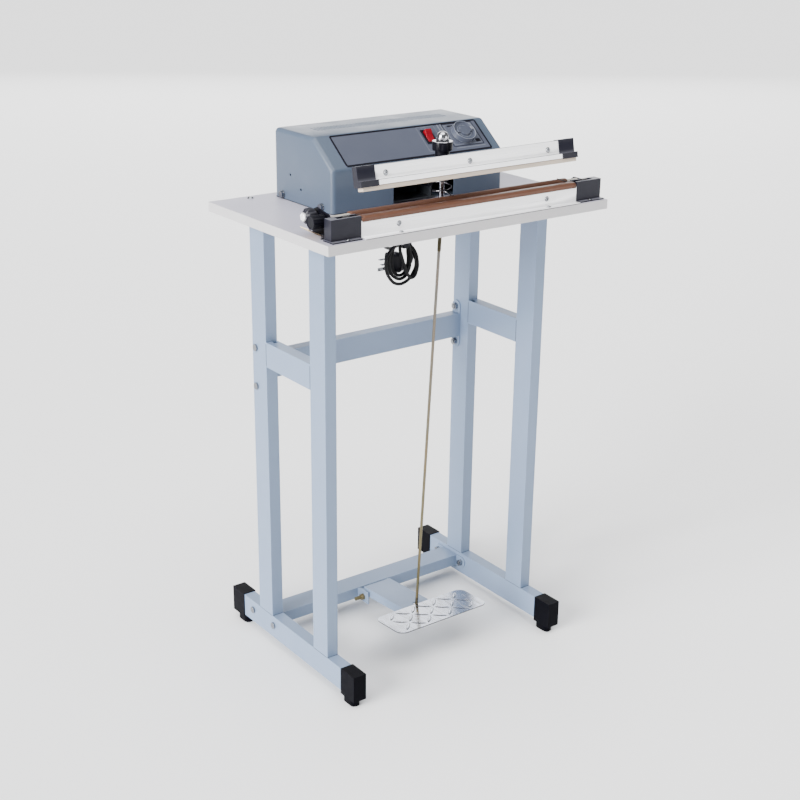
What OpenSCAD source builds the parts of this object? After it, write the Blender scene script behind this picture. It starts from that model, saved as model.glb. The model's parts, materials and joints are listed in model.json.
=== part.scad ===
// Foot-pedal impulse heat sealer on a stand.
// Frame: +Z up, X along the jaws, the operator stands on the -Y side.
// Origin: floor level, at the middle of the machine's outline.

/* [Table] */
// Width of the table board
table_w = 640; // [620:5:700]
// Depth of the table board
table_d = 405; // [395:1:415]
// Thickness of the table board
table_t = 18; // [16:1:22]
// Height of the board's top face above the floor
table_h = 926; // [860:1:960]

/* [Stand] */
// Outer width over the two leg frames
stand_w = 523; // [500:1:560]
// Narrow side of the stand tubes
tube_a = 25; // [20:1:30]
// Wide side of the stand tubes
tube_b = 50; // [40:1:50]
// Wall of the stand tubes
tube_wall = 1.5; // [1:0.1:2.5]
// Front face of the front legs
front_leg_y = -130; // [-140:1:-120]
// Front face of the rear legs
rear_leg_y = 74; // [64:1:84]
// Underside of the foot rails
rail_z = 21.3; // [18:0.1:30]
// Underside of the side rails between the legs
side_rail_z = 614; // [500:1:700]
// Underside of the beam between the rear legs
mid_beam_z = 579.5; // [500:0.5:700]
// Front face of the lower beam between the foot rails
low_beam_y = 86; // [80:1:100]

/* [Housing] */
// Width of the sheet-metal housing
house_w = 400; // [390:1:404]
// Sideways place of the housing's middle
house_x = 10; // [0:1:20]
// Height of the housing above the board
house_h = 131; // [128:1:140]
// Front face of the housing
house_y = -50; // [-52:1:-48]
// Rear face of the housing
house_back = 146; // [140:1:155]
// Height of the upright front face above the board
front_h = 80; // [78:1:82]
// Number of ventilation slots in the roof
vents = 42; // [10:1:44]

/* [Jaws] */
// Length of the upper jaw over its end caps
jaw_w = 492; // [400:1:492]
// Half the free length of the lower bar between the end boxes
bar_half = 246.5; // [246.5:0.5:250]
// Angle by which the upper jaw rests open
jaw_open = 12; // [10:0.5:12]

/* [Pedal] */
// Width of the tread plate
tread_w = 225; // [150:1:260]
// Depth of the tread plate
tread_d = 93; // [80:1:105]
// Angle by which the pedal rests raised
pedal_rise = 4.1; // [2:0.1:6]

/* [Hidden] */
$fn = 48;
eps = 0.01;
// Reach of cutting bars and blocks, well past every wall
far = 1000;

// Running clearance of shafts and pins, on the radius
run = 0.05;
// Free gap between pieces that move past each other
gap = 0.3;

// Levels and edges of the table; the front edge and the rear foot caps
// are equally far from the origin
table_z = table_h - table_t;
half_d = 232.5;
table_front = -half_d;
table_back = table_front + table_d;
edging_t = 0.8;

// Stand
leg_x = stand_w / 2 - tube_a / 2;
rail_top = rail_z + tube_b - 1.5;
leg_plate_t = 3;
front_foot_y = -223.5;
hole_r = 4.3;
mid_bolt_dz = 39.5;
low_bolt_dy = 40.5;
frame_bolt_r = 4;
frame_nut = 13;
end_plate_t = 3;
leg_plate_w = 45;
leg_plate_d = 92;
pad_r = 10;
pad_in = 28;
cap_len = 45;
cap_wall = 2;
inner_x = stand_w / 2 - tube_a;
mid_beam_y = rear_leg_y + tube_b - tube_a;
low_beam_z = 37;
table_bolt_x = 239;
table_bolt_back = 31;
table_bolt_hole = 3.3;
bush_r = 9;
gland_hole = 8;

// Housing: the sloping face runs from its lower edge up to the roof
house_l = house_x - house_w / 2;
house_r = house_x + house_w / 2;
house_z = table_h + 1;
slope_z = table_h + front_h;
roof_z = table_h + house_h;
roof_y = 15;
slope_a = atan2(roof_z - slope_z, roof_y - house_y);
sheet = 1.2;
base_gap = 0.2;
house_round = 9;
mouth_l = -53;
mouth_r = 89;
mouth_top = table_h + 77;
vent_pitch = 7.3;
vent_mid = 9;
vent_w = 3;
vent_y = [65, 95];
side_holes = [[90, 50], [54, 28]];
side_hole_r = 2.5;
side_bolt_z = 9;
base_in = 14;
panel_x0 = -156;
panel_x1 = 186;
panel_s0 = 4;
panel_s1 = 80;
panel_t = 1;
panel_r = 3;
switch_x = 57;
switch_s = 50;
dial_x = 137;
dial_s = 47;
rocker_tilt = 8;
side_bolt_ys = [-17, 117];

// Upper jaw: measured from its pivot, with the jaw closed and level
pivot_y = -22;
pivot_z = table_h + 59;
shaft_r = 6;
arm_w = 80;
arm_t = 2.5;
arm_top = 10;
arm_bottom = -10;
face_y = -192;
bar_back = -181;
bar_top = 20.7;
lip_y = -200.8;
lip_top = -4.4;
lip_bottom = -12.5;
strip_y0 = -199;
strip_y1 = -183.5;
strip_bottom = -20.9;
strip_x0 = -jaw_w / 2 + 4.5;
cap_in = 37.5;
cap_bottom = -14;
jaw_screw_pitch = 184;
jaw_screw_x = -2.3;
jaw_screw_z = 6;
cap_wall_t = 1.2;
cap_end_t = 1.5;
arm_screw_x = 25;
screw_hole = 2.2;
arm_screw_hole = 2.6;

// Lower jaw
bar_y0 = -218;
bar_y1 = -196;
bar_h = 30;
bar_z = table_h + bar_h;
hump_y0 = -216.5;
hump_y1 = -200;
hump_z = bar_z + 6.6;
cloth_t = 0.5;
tab_x = 237;
box_h = 39;
box_len = 62;
// Sideways place of the lower jaw's middle
low_x = 4;
box_back = -198;
roll_y = -177;
roll_z = table_h + 29;
roll_r = 9.5;
roll_shaft_r = 4;
roll_knob_r = 12.2;
lock_knob_r = 14.4;
knob_y = -150.5;
knob_z = table_h + 33.5;
bracket_x = 288;
bracket_t = 2.5;
bracket_screw_y = -174;
bracket_screw_in = 7;
flange_t = 2.2;
box_flange_t = 2.4;
flange_screw_y = -225;
box_screw_in = 31;
box_screw_y = -223;
lever_x = 276;
lever_z = table_h + 14;
low_screw_pitch = 340;
low_screw_x = 2.5;

// Spindle, spring and pull rod
spindle_y = -126;
spindle_r = 5;
nose_z = 1019.3;
knob_z0 = 1036.5;
knob_z1 = 1051.5;
knob_r = 18.8;
knob_boss_r = 13.5;
spindle_low = 890;
spindle_top = 1062;
rod_r = 3;
rod_top = [0, -125, 888];
rod_end = [2.5, -68, 62];
sleeve_len = 40;
spring_r = 17.5;
spring_wire = 1.1;
spring_turns = 4.5;

// Pedal
hinge_y = 65;
hinge_z = 50;
hinge_r = 4;
lug_x = 36;
lug_t = 3;
pedal_half = 34;
pedal_t = 2.5;
pedal_top = 20.2;
pedal_skirt = 18;
tread_t = 2;
tread_back = -140;
tread_x = 4;

// Power cord: 6 mm round lead, then an oval coil of turns hung under the table
cord_r = 3;
gland_p = [-70, -20];
gland_z = 886;
coil_c = [-118, -165, 856];
coil_end_r = 28;
coil_run = 30;
coil_band = 6.5;
coil_half = 9;
lead_route = [
    [-70, -20, 886], [-70, -20, 877], [-70, -25, 866], [-71, -35, 857],
    [-73, -49, 852], [-76, -65, 852], [-79, -81, 856], [-82, -97, 863],
    [-84, -113, 871], [-86, -129, 878], [-88, -143, 881], [-90, -154, 878],
    [-91, -162, 870], [-91, -165, 859]
];
tail_route = [
    [-91, -160, 868], [-88, -156, 861], [-85, -151, 853],
    [-84, -146, 844], [-88, -143, 838], [-96, -142, 836]
];
plug_c = [-118, -142, 848];

// ---------------------------------------------------------------- helpers

// A bar along X whose section is drawn in the YZ plane
module along_x(x0, x1)
    translate([x0, 0, 0]) rotate([90, 0, 90]) linear_extrude(height = x1 - x0) children();

// A round bar along X
module rod_x(x0, x1, y, z, r)
    translate([x0, y, z]) rotate([0, 90, 0]) cylinder(h = x1 - x0, r = r);

// A hexagonal bolt head or nut along X
module hex_x(x0, x1, y, z, across)
    translate([x0, y, z]) rotate([0, 90, 0]) cylinder(h = x1 - x0, d = across / cos(30), $fn = 6);

// A box given by its two corners
module block(a, b) translate(a) cube(b - a);

// A hollow rectangular tube, open along one axis (0 = X, 1 = Y, 2 = Z)
module tube(a, b, axis, wall = tube_wall) {
    inset = [for (i = [0:2]) i == axis ? -1 : wall];
    difference() {
        block(a, b);
        block(a + inset, b - inset);
    }
}

// Both sides of the machine
module both() {
    children();
    mirror([1, 0, 0]) children();
}

function unit(v) = v / norm(v);
function tangents(p) = [
    for (i = [0 : len(p) - 1]) unit(p[min(i + 1, len(p) - 1)] - p[max(i - 1, 0)])
];
// A normal carried along the path without twist
function carried(t, i = 0, n = [0, 0, 0]) = i == len(t) ? [] :
    let (m = i == 0 ? unit(cross(t[0], [0.3, 1, 0.2])) : unit(n - (n * t[i]) * t[i]))
    concat([m], carried(t, i + 1, m));
// Smooth curve through the given points
function curve(p, steps) = concat([
    for (i = [0 : len(p) - 2], k = [0 : steps - 1])
        let (a = p[max(i - 1, 0)], b = p[i], c = p[i + 1],
             d = p[min(i + 2, len(p) - 1)], t = k / steps)
        0.5 * (2 * b + (c - a) * t + (2 * a - 5 * b + 4 * c - d) * t * t
            + (3 * b - a - 3 * c + d) * t * t * t)
], [p[len(p) - 1]]);
// Round tube swept along a list of points
module sweep(p, r, sides) {
    t = tangents(p);
    n = carried(t);
    last = len(p) - 1;
    polyhedron(
        points = [
            for (i = [0 : last], k = [0 : sides - 1])
                p[i] + r * (cos(360 * k / sides) * n[i]
                    + sin(360 * k / sides) * cross(t[i], n[i]))
        ],
        faces = concat(
            [[for (k = [0 : sides - 1]) k]],
            [for (i = [0 : last - 1], k = [0 : sides - 1])
                let (m = (k + 1) % sides)
                [i * sides + k, (i + 1) * sides + k, (i + 1) * sides + m, i * sides + m]],
            [[for (k = [sides - 1 : -1 : 0]) last * sides + k]]
        )
    );
}

// Frame of the housing's sloping face: X sideways, Y up the slope, Z outwards
module on_slope() translate([0, house_y, slope_z]) rotate([slope_a, 0, 0]) children();
// Frame of the upper jaw: its pivot, turned from closed to open
module in_jaw() translate([0, pivot_y, pivot_z]) rotate([-jaw_open, 0, 0]) children();
// Frame of the pedal: its pivot, raised
module in_pedal() translate([0, hinge_y, hinge_z]) rotate([-pedal_rise, 0, 0]) children();

// ------------------------------------------------------------------ stand

// Cross holes for the bolts of a beam's end plates
module low_bolts(r) for (k = [-1, 1])
    rod_x(-far, far, low_beam_y + tube_b / 2 + k * low_bolt_dy, low_beam_z + tube_a / 2, r);
module mid_bolts(r) for (k = [-1, 1])
    rod_x(-far, far, mid_beam_y + tube_a / 2, mid_beam_z + tube_b / 2 + k * mid_bolt_dz, r);

module foot_rail(side) color("#a9bccb") difference() {
    translate([side * leg_x, 0, 0])
        tube([-tube_a / 2, front_foot_y + cap_wall, rail_z],
             [tube_a / 2, half_d - cap_wall, rail_top], 1);
    low_bolts(hole_r);
}

module left_foot_rail() foot_rail(-1);
module right_foot_rail() foot_rail(1);

// Leg tube with the mounting plate that is welded to its top
module leg(side, y, plate_dir) color("#a9bccb") {
    plate_y0 = plate_dir > 0 ? y : y + tube_b - leg_plate_d;
    bolt_y = plate_dir > 0 ? y + tube_b + table_bolt_back : y - table_bolt_back;
    difference() {
        translate([side * leg_x, 0, 0])
            tube([-tube_a / 2, y, rail_top], [tube_a / 2, y + tube_b, table_z - leg_plate_t], 2);
        mid_bolts(hole_r);
    }
    difference() {
        block([min(side * stand_w / 2, side * (stand_w / 2 - leg_plate_w)), plate_y0, table_z - leg_plate_t],
              [max(side * stand_w / 2, side * (stand_w / 2 - leg_plate_w)), plate_y0 + leg_plate_d, table_z]);
        translate([side * table_bolt_x, bolt_y, table_z - 10]) cylinder(h = 20, r = table_bolt_hole);
    }
}

module left_front_leg() leg(-1, front_leg_y, -1);
module left_rear_leg() leg(-1, rear_leg_y, 1);
module right_front_leg() leg(1, front_leg_y, -1);
module right_rear_leg() leg(1, rear_leg_y, 1);

// Rail between the front and rear legs, notched beside the rear leg
module side_rail(side) color("#a9bccb")
    translate([side * leg_x, 0, 0]) difference() {
        tube([-tube_a / 2, front_leg_y + tube_b, side_rail_z],
             [tube_a / 2, rear_leg_y, side_rail_z + tube_b], 1);
        block([-side * 5 - 5, rear_leg_y - 13, side_rail_z + tube_b - 4],
              [-side * 5 + 5, rear_leg_y + 1, side_rail_z + tube_b + 1]);
    }

module left_side_rail() side_rail(-1);
module right_side_rail() side_rail(1);

// A plate with round ends in the YZ plane, against the inner side faces;
// its two holes are at its middle plus and minus [dy, dz]
module end_plate(y, z, dy, dz) along_x(inner_x - end_plate_t, inner_x) difference() {
    r = tube_a / 2;
    union() {
        translate([y - max(dy, r), z - max(dz, r)]) square([2 * max(dy, r), 2 * max(dz, r)]);
        for (k = [-1, 1]) translate([y + k * dy, z + k * dz]) circle(r = r);
    }
    for (k = [-1, 1]) translate([y + k * dy, z + k * dz]) circle(r = hole_r);
}

module mid_beam() color("#a9bccb") {
    tube([-inner_x + end_plate_t, mid_beam_y, mid_beam_z],
         [inner_x - end_plate_t, mid_beam_y + tube_a, mid_beam_z + tube_b], 0);
    both() end_plate(mid_beam_y + tube_a / 2, mid_beam_z + tube_b / 2, 0, mid_bolt_dz);
}

module lower_beam() color("#a9bccb") {
    tube([-inner_x + end_plate_t, low_beam_y, low_beam_z],
         [inner_x - end_plate_t, low_beam_y + tube_b, low_beam_z + tube_a], 0);
    both() end_plate(low_beam_y + tube_b / 2, low_beam_z + tube_a / 2, low_bolt_dy, 0);
}

// Two lugs on the lower beam that carry the pedal's hinge bolt
module pedal_lugs() color("#a9bccb") both()
    along_x(lug_x, lug_x + lug_t) difference() {
        polygon([[low_beam_y, 38], [low_beam_y, 61], [72, 66], [48, 66], [48, 38]]);
        translate([hinge_y, hinge_z]) circle(r = hinge_r + run);
    }

// Hinge bolt with its head on the right and a long threaded end on the left
module hinge_bolt() color("#c9b25e") {
    rod_x(-60, lug_x + lug_t, hinge_y, hinge_z, hinge_r);
    hex_x(lug_x + lug_t, lug_x + lug_t + 5.3, hinge_y, hinge_z, frame_nut);
    hex_x(-lug_x - lug_t - 6.5, -lug_x - lug_t, hinge_y, hinge_z, frame_nut);
}

// Plastic sleeves on the rail ends with a rounded foot pad under each
module foot_cap(side, y0, pad_y) translate([side * leg_x, 0, 0]) {
    w = tube_a + 2 * cap_wall;
    difference() {
        block([-w / 2, y0, rail_z - 5], [w / 2, y0 + cap_len, rail_top + cap_wall]);
        block([-tube_a / 2, front_foot_y + cap_wall, rail_z],
              [tube_a / 2, half_d - cap_wall, rail_top]);
    }
    block([-pad_r, pad_y - 9, 0], [pad_r, pad_y + 9, rail_z - 5 + eps]);
    for (k = [-9, 9]) translate([0, pad_y + k, 0]) cylinder(h = rail_z - 5 + eps, r = pad_r);
}

module foot_caps() color("#22242a") for (side = [-1, 1]) {
    foot_cap(side, front_foot_y, front_foot_y + pad_in);
    foot_cap(side, half_d - cap_len, half_d - pad_in);
}

// Bolt through a beam's end plate and the side tube, nut on the inside
module frame_bolt(y, z) both() {
    rod_x(inner_x - 12, stand_w / 2, y, z, frame_bolt_r);
    hex_x(inner_x - 10, inner_x - end_plate_t, y, z, frame_nut);
    rod_x(stand_w / 2, stand_w / 2 + 3.5, y, z, 7);
}

module frame_bolts() {
    for (k = [-1, 1]) frame_bolt(mid_beam_y + tube_a / 2, mid_beam_z + tube_b / 2 + k * mid_bolt_dz);
    for (k = [-1, 1]) frame_bolt(low_beam_y + tube_b / 2 + k * low_bolt_dy, low_beam_z + tube_a / 2);
}

// ------------------------------------------------------------------ table

module worktop() color("#c9cbd0") difference() {
    block([-table_w / 2 + edging_t, table_front + edging_t, table_z],
          [table_w / 2 - edging_t, table_back - edging_t, table_h]);
    translate([0, spindle_y, 0]) cylinder(h = far, r = bush_r);
    translate([gland_p[0], gland_p[1], 0]) cylinder(h = far, r = gland_hole);
    for (x = [-1, 1], y = [front_leg_y - table_bolt_back, rear_leg_y + tube_b + table_bolt_back])
        translate([x * table_bolt_x, y, 0]) cylinder(h = far, r = table_bolt_hole);
}

module worktop_edging() color("#dadadc")
    tube([-table_w / 2, table_front, table_z], [table_w / 2, table_back, table_h], 2, edging_t);

// Table bolts: domed heads on the board, nuts under the leg plates
module worktop_bolts()
    for (x = [-1, 1], y = [front_leg_y - table_bolt_back, rear_leg_y + tube_b + table_bolt_back])
        translate([x * table_bolt_x, y, 0]) {
            translate([0, 0, table_h]) cylinder(h = 3, r1 = 6.5, r2 = 4);
            translate([0, 0, table_z - 14]) cylinder(h = table_t + 14, r = 3);
            translate([0, 0, table_z - 9]) cylinder(h = 6, d = 10 / cos(30), $fn = 6);
        }

// ---------------------------------------------------------------- housing

// Outer or inner body of the housing; inset moves every wall inwards
module house_body(inset, round) {
    corners = [
        [house_y, house_z - 20], [house_y, slope_z], [roof_y, roof_z],
        [house_back, roof_z], [house_back, house_z - 20]
    ];
    // Corner pushed inwards so that the rounded walls keep their place
    turn = slope_a / 2;
    push = [[1, 0], [1, -tan(45 - turn)], [tan(turn), -1], [-1, -1], [-1, 0]];
    d = inset + round;
    hull() for (x = [house_l + d, house_r - d], i = [0:4])
        translate([x, corners[i][0] + push[i][0] * d, corners[i][1] + push[i][1] * d])
            sphere(r = round, $fn = 24);
}

module housing() color("#7d93ab") difference() {
    house_body(0, house_round);
    house_body(sheet, house_round - sheet);
    block([-far, -far, 0], [far, far, house_z]);
    block([mouth_l, house_y - 5, house_z - 1], [mouth_r, house_y + 12, mouth_top]);
    for (i = [0 : vents - 1]) {
        x = vent_mid + (i - (vents - 1) / 2) * vent_pitch;
        block([x - vent_w / 2, vent_y[0], roof_z - 5], [x + vent_w / 2, vent_y[1], roof_z + 5]);
    }
    on_slope() {
        translate([switch_x - 11, switch_s - 15, -5]) cube([22, 30, 10]);
        translate([dial_x, dial_s, -5]) cylinder(h = 10, r = 6);
    }
    for (h = side_holes) rod_x(house_l - 5, house_l + 5, h[0], table_h + h[1], side_hole_r);
    for (y = side_bolt_ys) rod_x(-far, far, y, table_h + side_bolt_z, 3.2);
}

// Tray under the housing with upright edges that the side bolts grip
module housing_base() color("#8b98a6") difference() {
    l = house_l + sheet + base_gap;
    r = house_r - sheet - base_gap;
    union() {
        block([l, -30, table_h], [r, house_back - base_in, table_h + 2]);
        for (x = [l, r - 2]) block([x, -30, table_h], [x + 2, house_back - base_in, table_h + 18]);
    }
    for (y = side_bolt_ys) rod_x(-far, far, y, table_h + side_bolt_z, 3.2);
    translate([gland_p[0], gland_p[1], 0]) cylinder(h = far, r = gland_hole);
}

module housing_bolts() for (y = side_bolt_ys, s = [-1, 1]) {
    x = s < 0 ? house_l : house_r;
    z = table_h + side_bolt_z;
    rod_x(min(x, x - s * 12), max(x, x - s * 12), y, z, 3);
    rod_x(min(x, x + s * 1.5), max(x, x + s * 1.5), y, z, 7.5);
    hex_x(min(x + s * 1.5, x + s * 6.5), max(x + s * 1.5, x + s * 6.5), y, z, 12);
}

module fasteners() color("#b9bcc0") {
    frame_bolts();
    worktop_bolts();
    housing_bolts();
}

module control_panel() color("#5f6978") on_slope() difference() {
    union() {
        block([panel_x0 + panel_r, panel_s0, 0], [panel_x1 - panel_r, panel_s1, panel_t]);
        block([panel_x0, panel_s0 + panel_r, 0], [panel_x1, panel_s1 - panel_r, panel_t]);
        for (x = [panel_x0 + panel_r, panel_x1 - panel_r], s = [panel_s0 + panel_r, panel_s1 - panel_r])
            translate([x, s, 0]) cylinder(h = panel_t, r = panel_r);
    }
    translate([switch_x - 10.5, switch_s - 14.5, -5]) cube([21, 29, 10]);
    translate([dial_x, dial_s, -5]) cylinder(h = 10, r = 5);
}

// Switch: rim on the panel, body behind it, pocket for the rocker
module switch_body() color("#1b1c20") on_slope() translate([switch_x, switch_s, 0]) difference() {
    union() {
        translate([-12, -17, panel_t]) cube([24, 34, 2]);
        translate([-10, -14, -20]) cube([20, 28, 20 + panel_t + eps]);
        for (x = [-6, 0, 6]) translate([x - 0.4, -3, -28]) cube([0.8, 6, 8.5]);
    }
    translate([-9.2, -13.5, -8]) cube([18.4, 27, 20]);
}

module power_rocker() color("#c01822") on_slope() translate([switch_x, switch_s, panel_t])
    rotate([-rocker_tilt, 0, 0]) translate([-8.8, 0, 0]) rotate([90, 0, 90])
        linear_extrude(height = 17.6) intersection() {
            circle(r = 13.2);
            polygon([[-14, -6], [14, -6], [14, 5.2], [0, 3.2], [-14, 5.2]]);
        }

module timer_dial() color("#8f97a6") on_slope() translate([dial_x, dial_s, panel_t + gap]) {
    difference() {
        cylinder(h = 11, r1 = 25, r2 = 23.5);
        translate([0, 0, 8]) cylinder(h = 5, r = 21);
    }
    translate([-18, -4, 7]) cube([36, 8, 4.5]);
    translate([0, 0, -16]) cylinder(h = 17, r = 3);
}

module timer_board() color("#3d6b3f") on_slope() translate([dial_x, dial_s, 0]) {
    difference() {
        translate([-35, -36, -22]) cube([70, 68, 1.6]);
        translate([0, 0, -30]) cylinder(h = 20, r = 3 + run);
    }
    difference() {
        translate([0, 0, -20.5]) cylinder(h = 12, r = 12);
        translate([0, 0, -30]) cylinder(h = 40, r = 3 + run);
    }
    translate([14, -30, -20.5]) cube([18, 14, 14]);
    for (x = [-32, 32], s = [-33, 29]) translate([x, s, -20.5]) cylinder(h = 19.3, r = 2);
}

module transformer() color("#6f6a66") {
    block([-165, 25, table_h + 2], [-75, 85, table_h + 5]);
    block([-155, 30, table_h + 5], [-85, 80, table_h + 17]);
    block([-155, 30, table_h + 63], [-85, 80, table_h + 75]);
    for (x = [-155, -126, -97]) block([x, 30, table_h + 17 - eps], [x + 12, 80, table_h + 63 + eps]);
    for (x = [-142.5, -113.5]) difference() {
        block([x, 22, table_h + 18], [x + 16, 88, table_h + 62]);
        block([x - 1, 31, table_h + 20], [x + 17, 79, table_h + 60]);
    }
}

module terminal_block() color("#e4e2da") difference() {
    block([95, 90, table_h + 2], [145, 108, table_h + 16]);
    for (i = [0:4]) translate([100 + i * 10, 99, table_h + 6]) cylinder(h = 20, r = 3);
}

// Microswitch with a spacer plate against the bracket's side
module microswitch() color("#26282c") difference() {
    union() {
        block([31, -46, table_h + 26], [41, -18, table_h + 44]);
        block([41, -36, table_h + 26], [43, -22, table_h + 44]);
    }
    for (y = [-41, -25]) rod_x(30, 44, y, table_h + 31, 1.5);
}

// Switch blade, held just under the arm's skirt
module microswitch_lever() color("#c8cace") translate([31.5, -20, table_h + 45.6]) rotate([-17, 0, 0]) {
    translate([0, -23, -0.4]) cube([9, 23, 0.8]);
    rod_x(0, 9, 0, 0, 1.2);
}

// U bracket on the base plate that carries the arm's shaft
module arm_bracket() color("#8b98a6") difference() {
    union() {
        block([-56, -38, table_h + 2], [56, 8, table_h + 5]);
        for (s = [-1, 1])
            block([min(s * 43, s * 46), -36, table_h + 4], [max(s * 43, s * 46), 6, pivot_z + 12]);
    }
    rod_x(-60, 60, pivot_y, pivot_z, shaft_r + run);
}

module pivot_shaft() color("#b4b7bb") {
    rod_x(-52, 52, pivot_y, pivot_z, shaft_r);
    for (s = [-1, 1]) rod_x(min(s * 46.5, s * 48), max(s * 46.5, s * 48), pivot_y, pivot_z, 9);
}

// -------------------------------------------------------------- lower jaw

module in_low() translate([low_x, 0, 0]) children();

module lower_jaw_bar() color("#eef0f2") in_low() difference() {
    along_x(-bar_half, bar_half) difference() {
        polygon([
            [-231, table_h], [-231, table_h + flange_t], [bar_y0, table_h + flange_t], [bar_y0, bar_z],
            [bar_y1, bar_z], [bar_y1, table_h]
        ]);
        translate([bar_y0 + 1.8, table_h + 2]) square([bar_y1 - bar_y0 - 3.6, bar_h - 4]);
    }
    for (s = [-1, 1]) {
        x = low_screw_x + s * low_screw_pitch / 2;
        translate([x, bar_y0 - 5, table_h + 16]) rotate([-90, 0, 0]) cylinder(h = 8, r = screw_hole);
        translate([x, flange_screw_y, 900]) cylinder(h = 40, r = screw_hole);
    }
}

// Insulating strip with rounded shoulders on the bar's top
function shoulder(y, z, r, a0) = [for (a = [a0 : 15 : a0 + 90]) [y + r * cos(a), z + r * sin(a)]];
function hump(y0, y1, z0, z1, r) = concat(
    [[y0, z0], [y1, z0]], shoulder(y1 - r, z1 - r, r, 0), shoulder(y0 + r, z1 - r, r, 90));

module insulation_strip() color("#8a5a3a") in_low()
    along_x(-bar_half + 1, bar_half - 1)
        polygon(hump(hump_y0, hump_y1, bar_z, hump_z, 4.5));

module heating_wire() color("#c9c6bf") in_low()
    block([-bar_half + 6, -210.5, hump_z], [bar_half - 6, -205.5, hump_z + 0.3]);

// Cloth cover: over the strip and the wire, then back and down to the roll
module ptfe_cloth() color("#7b4a33") in_low() along_x(-bar_half + 1.5, bar_half - 1.5) {
    difference() {
        polygon(hump(bar_y0 - cloth_t, hump_y1 + cloth_t, bar_z - 2, hump_z + 0.35 + cloth_t, 5));
        polygon(hump(hump_y0, hump_y1, bar_z - 3, hump_z + 0.35, 4.4));
        translate([bar_y0, bar_z - 5]) square([bar_y1 - bar_y0, 5]);
        translate([hump_y1 - 1, bar_z - 5]) square([3, 8]);
    }
    polygon([
        [hump_y1 + 0.02, hump_z - 4.2], [hump_y1 + cloth_t, hump_z - 3.7],
        [bar_y1 + 0.5, bar_z + 1], [roll_y - roll_r * 0.72 - 0.6, roll_z - roll_r * 0.72],
        [roll_y - roll_r * 0.72 - 1.1, roll_z - roll_r * 0.72 - 0.5], [bar_y1 + 0.3, bar_z + 0.4]
    ]);
}

// Plastic end box: open inside, slot in its top, screw flange at its base
module end_box(side) color("#26272d") in_low() {
    x0 = bar_half + 0.5;
    x1 = x0 + box_len;
    mirror([side < 0 ? 1 : 0, 0, 0]) difference() {
        union() {
            block([x0, bar_y0, table_h], [x1, box_back, table_h + box_h]);
            block([x0 + 3, -227, table_h], [x1 + 2.5, bar_y0 + eps, table_h + box_flange_t]);
            block([x1 - eps, bar_y0, table_h], [x1 + 2.5, box_back, table_h + box_flange_t]);
        }
        block([x0 + 2, bar_y0 + 2, table_h - 1], [x1 - 2, box_back - 2, table_h + box_h - 2]);
        block([x0 - 1, bar_y0 + 5.5, table_h + 30], [x0 + 45, box_back - 4, table_h + 45]);
        translate([x0 + box_screw_in, box_screw_y, 900]) cylinder(h = 40, r = screw_hole);
        rod_y(lever_x, lever_z, 2 + run);
    }
}
module rod_y(x, z, r) translate([x, -214.5, z]) rotate([-90, 0, 0]) cylinder(h = 40, r = r);

module left_end_box() end_box(-1);
module right_end_box() end_box(1);

module pan_head(r = 4) {
    cylinder(h = 2.2, r1 = r, r2 = r * 0.7);
    translate([0, 0, -6]) cylinder(h = 6 + eps, r = 2);
}

module lower_jaw_screws() color("#b7b9bc") {
    for (s = [-1, 1]) translate([low_x + low_screw_x + s * low_screw_pitch / 2, 0, 0]) {
        translate([0, bar_y0, table_h + 16]) rotate([90, 0, 0]) pan_head(4);
        translate([0, flange_screw_y, table_h + flange_t]) pan_head(3.6);
    }
    in_low() both() translate([bar_half + 0.5 + box_screw_in, box_screw_y, table_h + box_flange_t]) pan_head(3.6);
    both() translate([bracket_x - bracket_screw_in, bracket_screw_y, table_h + bracket_t]) pan_head(3.6);
}

// Upright plates that carry the cloth roller, each with a screwed foot
module roller_brackets() color("#1d1e22") difference() {
    union() {
        along_x(-bracket_x - bracket_t, -bracket_x)
            polygon([[-196, table_h], [-196, 960], [-190, 967], [-152, 974], [-140, 968], [-138, table_h]]);
        along_x(bracket_x, bracket_x + bracket_t)
            polygon([[-196, table_h], [-196, 955], [-186, 962], [-168, 962], [-158, 955], [-158, table_h]]);
        both() block([bracket_x - 14, -190, table_h], [bracket_x + eps, -158, table_h + bracket_t]);
    }
    rod_x(-far, far, roll_y, roll_z, roll_shaft_r + run);
    rod_x(-far, 0, knob_y, knob_z, roll_shaft_r + run);
    both() translate([bracket_x - bracket_screw_in, bracket_screw_y, 900]) cylinder(h = 40, r = screw_hole);
}

// Roll of spare cloth with its shaft and the hand knob on its left end
module cloth_roller() color("#6b3f2c") {
    rod_x(-240, bar_half + 12, roll_y, roll_z, roll_r);
    rod_x(-bracket_x - 8, bracket_x + 6, roll_y, roll_z, roll_shaft_r);
    rod_x(-bracket_x + gap, bracket_x - gap, roll_y, roll_z, 6.5);
    color("#17181b") difference() {
        rod_x(-table_w / 2, -bracket_x - bracket_t - gap, roll_y, roll_z, roll_knob_r);
        flutes(-table_w / 2 + 4, roll_y, roll_z, roll_knob_r + 0.9, 30, 1.5);
    }
}

// Grip flutes around a knob on the left end, from x inwards
module flutes(x, y, z, reach, step, r) for (a = [0 : step : 359])
    rod_x(x, -bracket_x, y + reach * cos(a), z + reach * sin(a), r);

// Fluted locking knob with a hexagonal cap
module roller_lock_knob() {
    color("#3a3c44") difference() {
        rod_x(-309, -297.5, knob_y, knob_z, lock_knob_r);
        flutes(-table_w / 2, knob_y, knob_z, lock_knob_r + 2.1, 45, 4);
    }
    color("#17181b") rod_x(-313, -bracket_x - bracket_t - gap, knob_y, knob_z, 8);
    color("#17181b") rod_x(-bracket_x - 4, -bracket_x + 10, knob_y, knob_z, roll_shaft_r);
    color("#eceef0") hex_x(-319, -313, knob_y, knob_z, 13.4);
}

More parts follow.
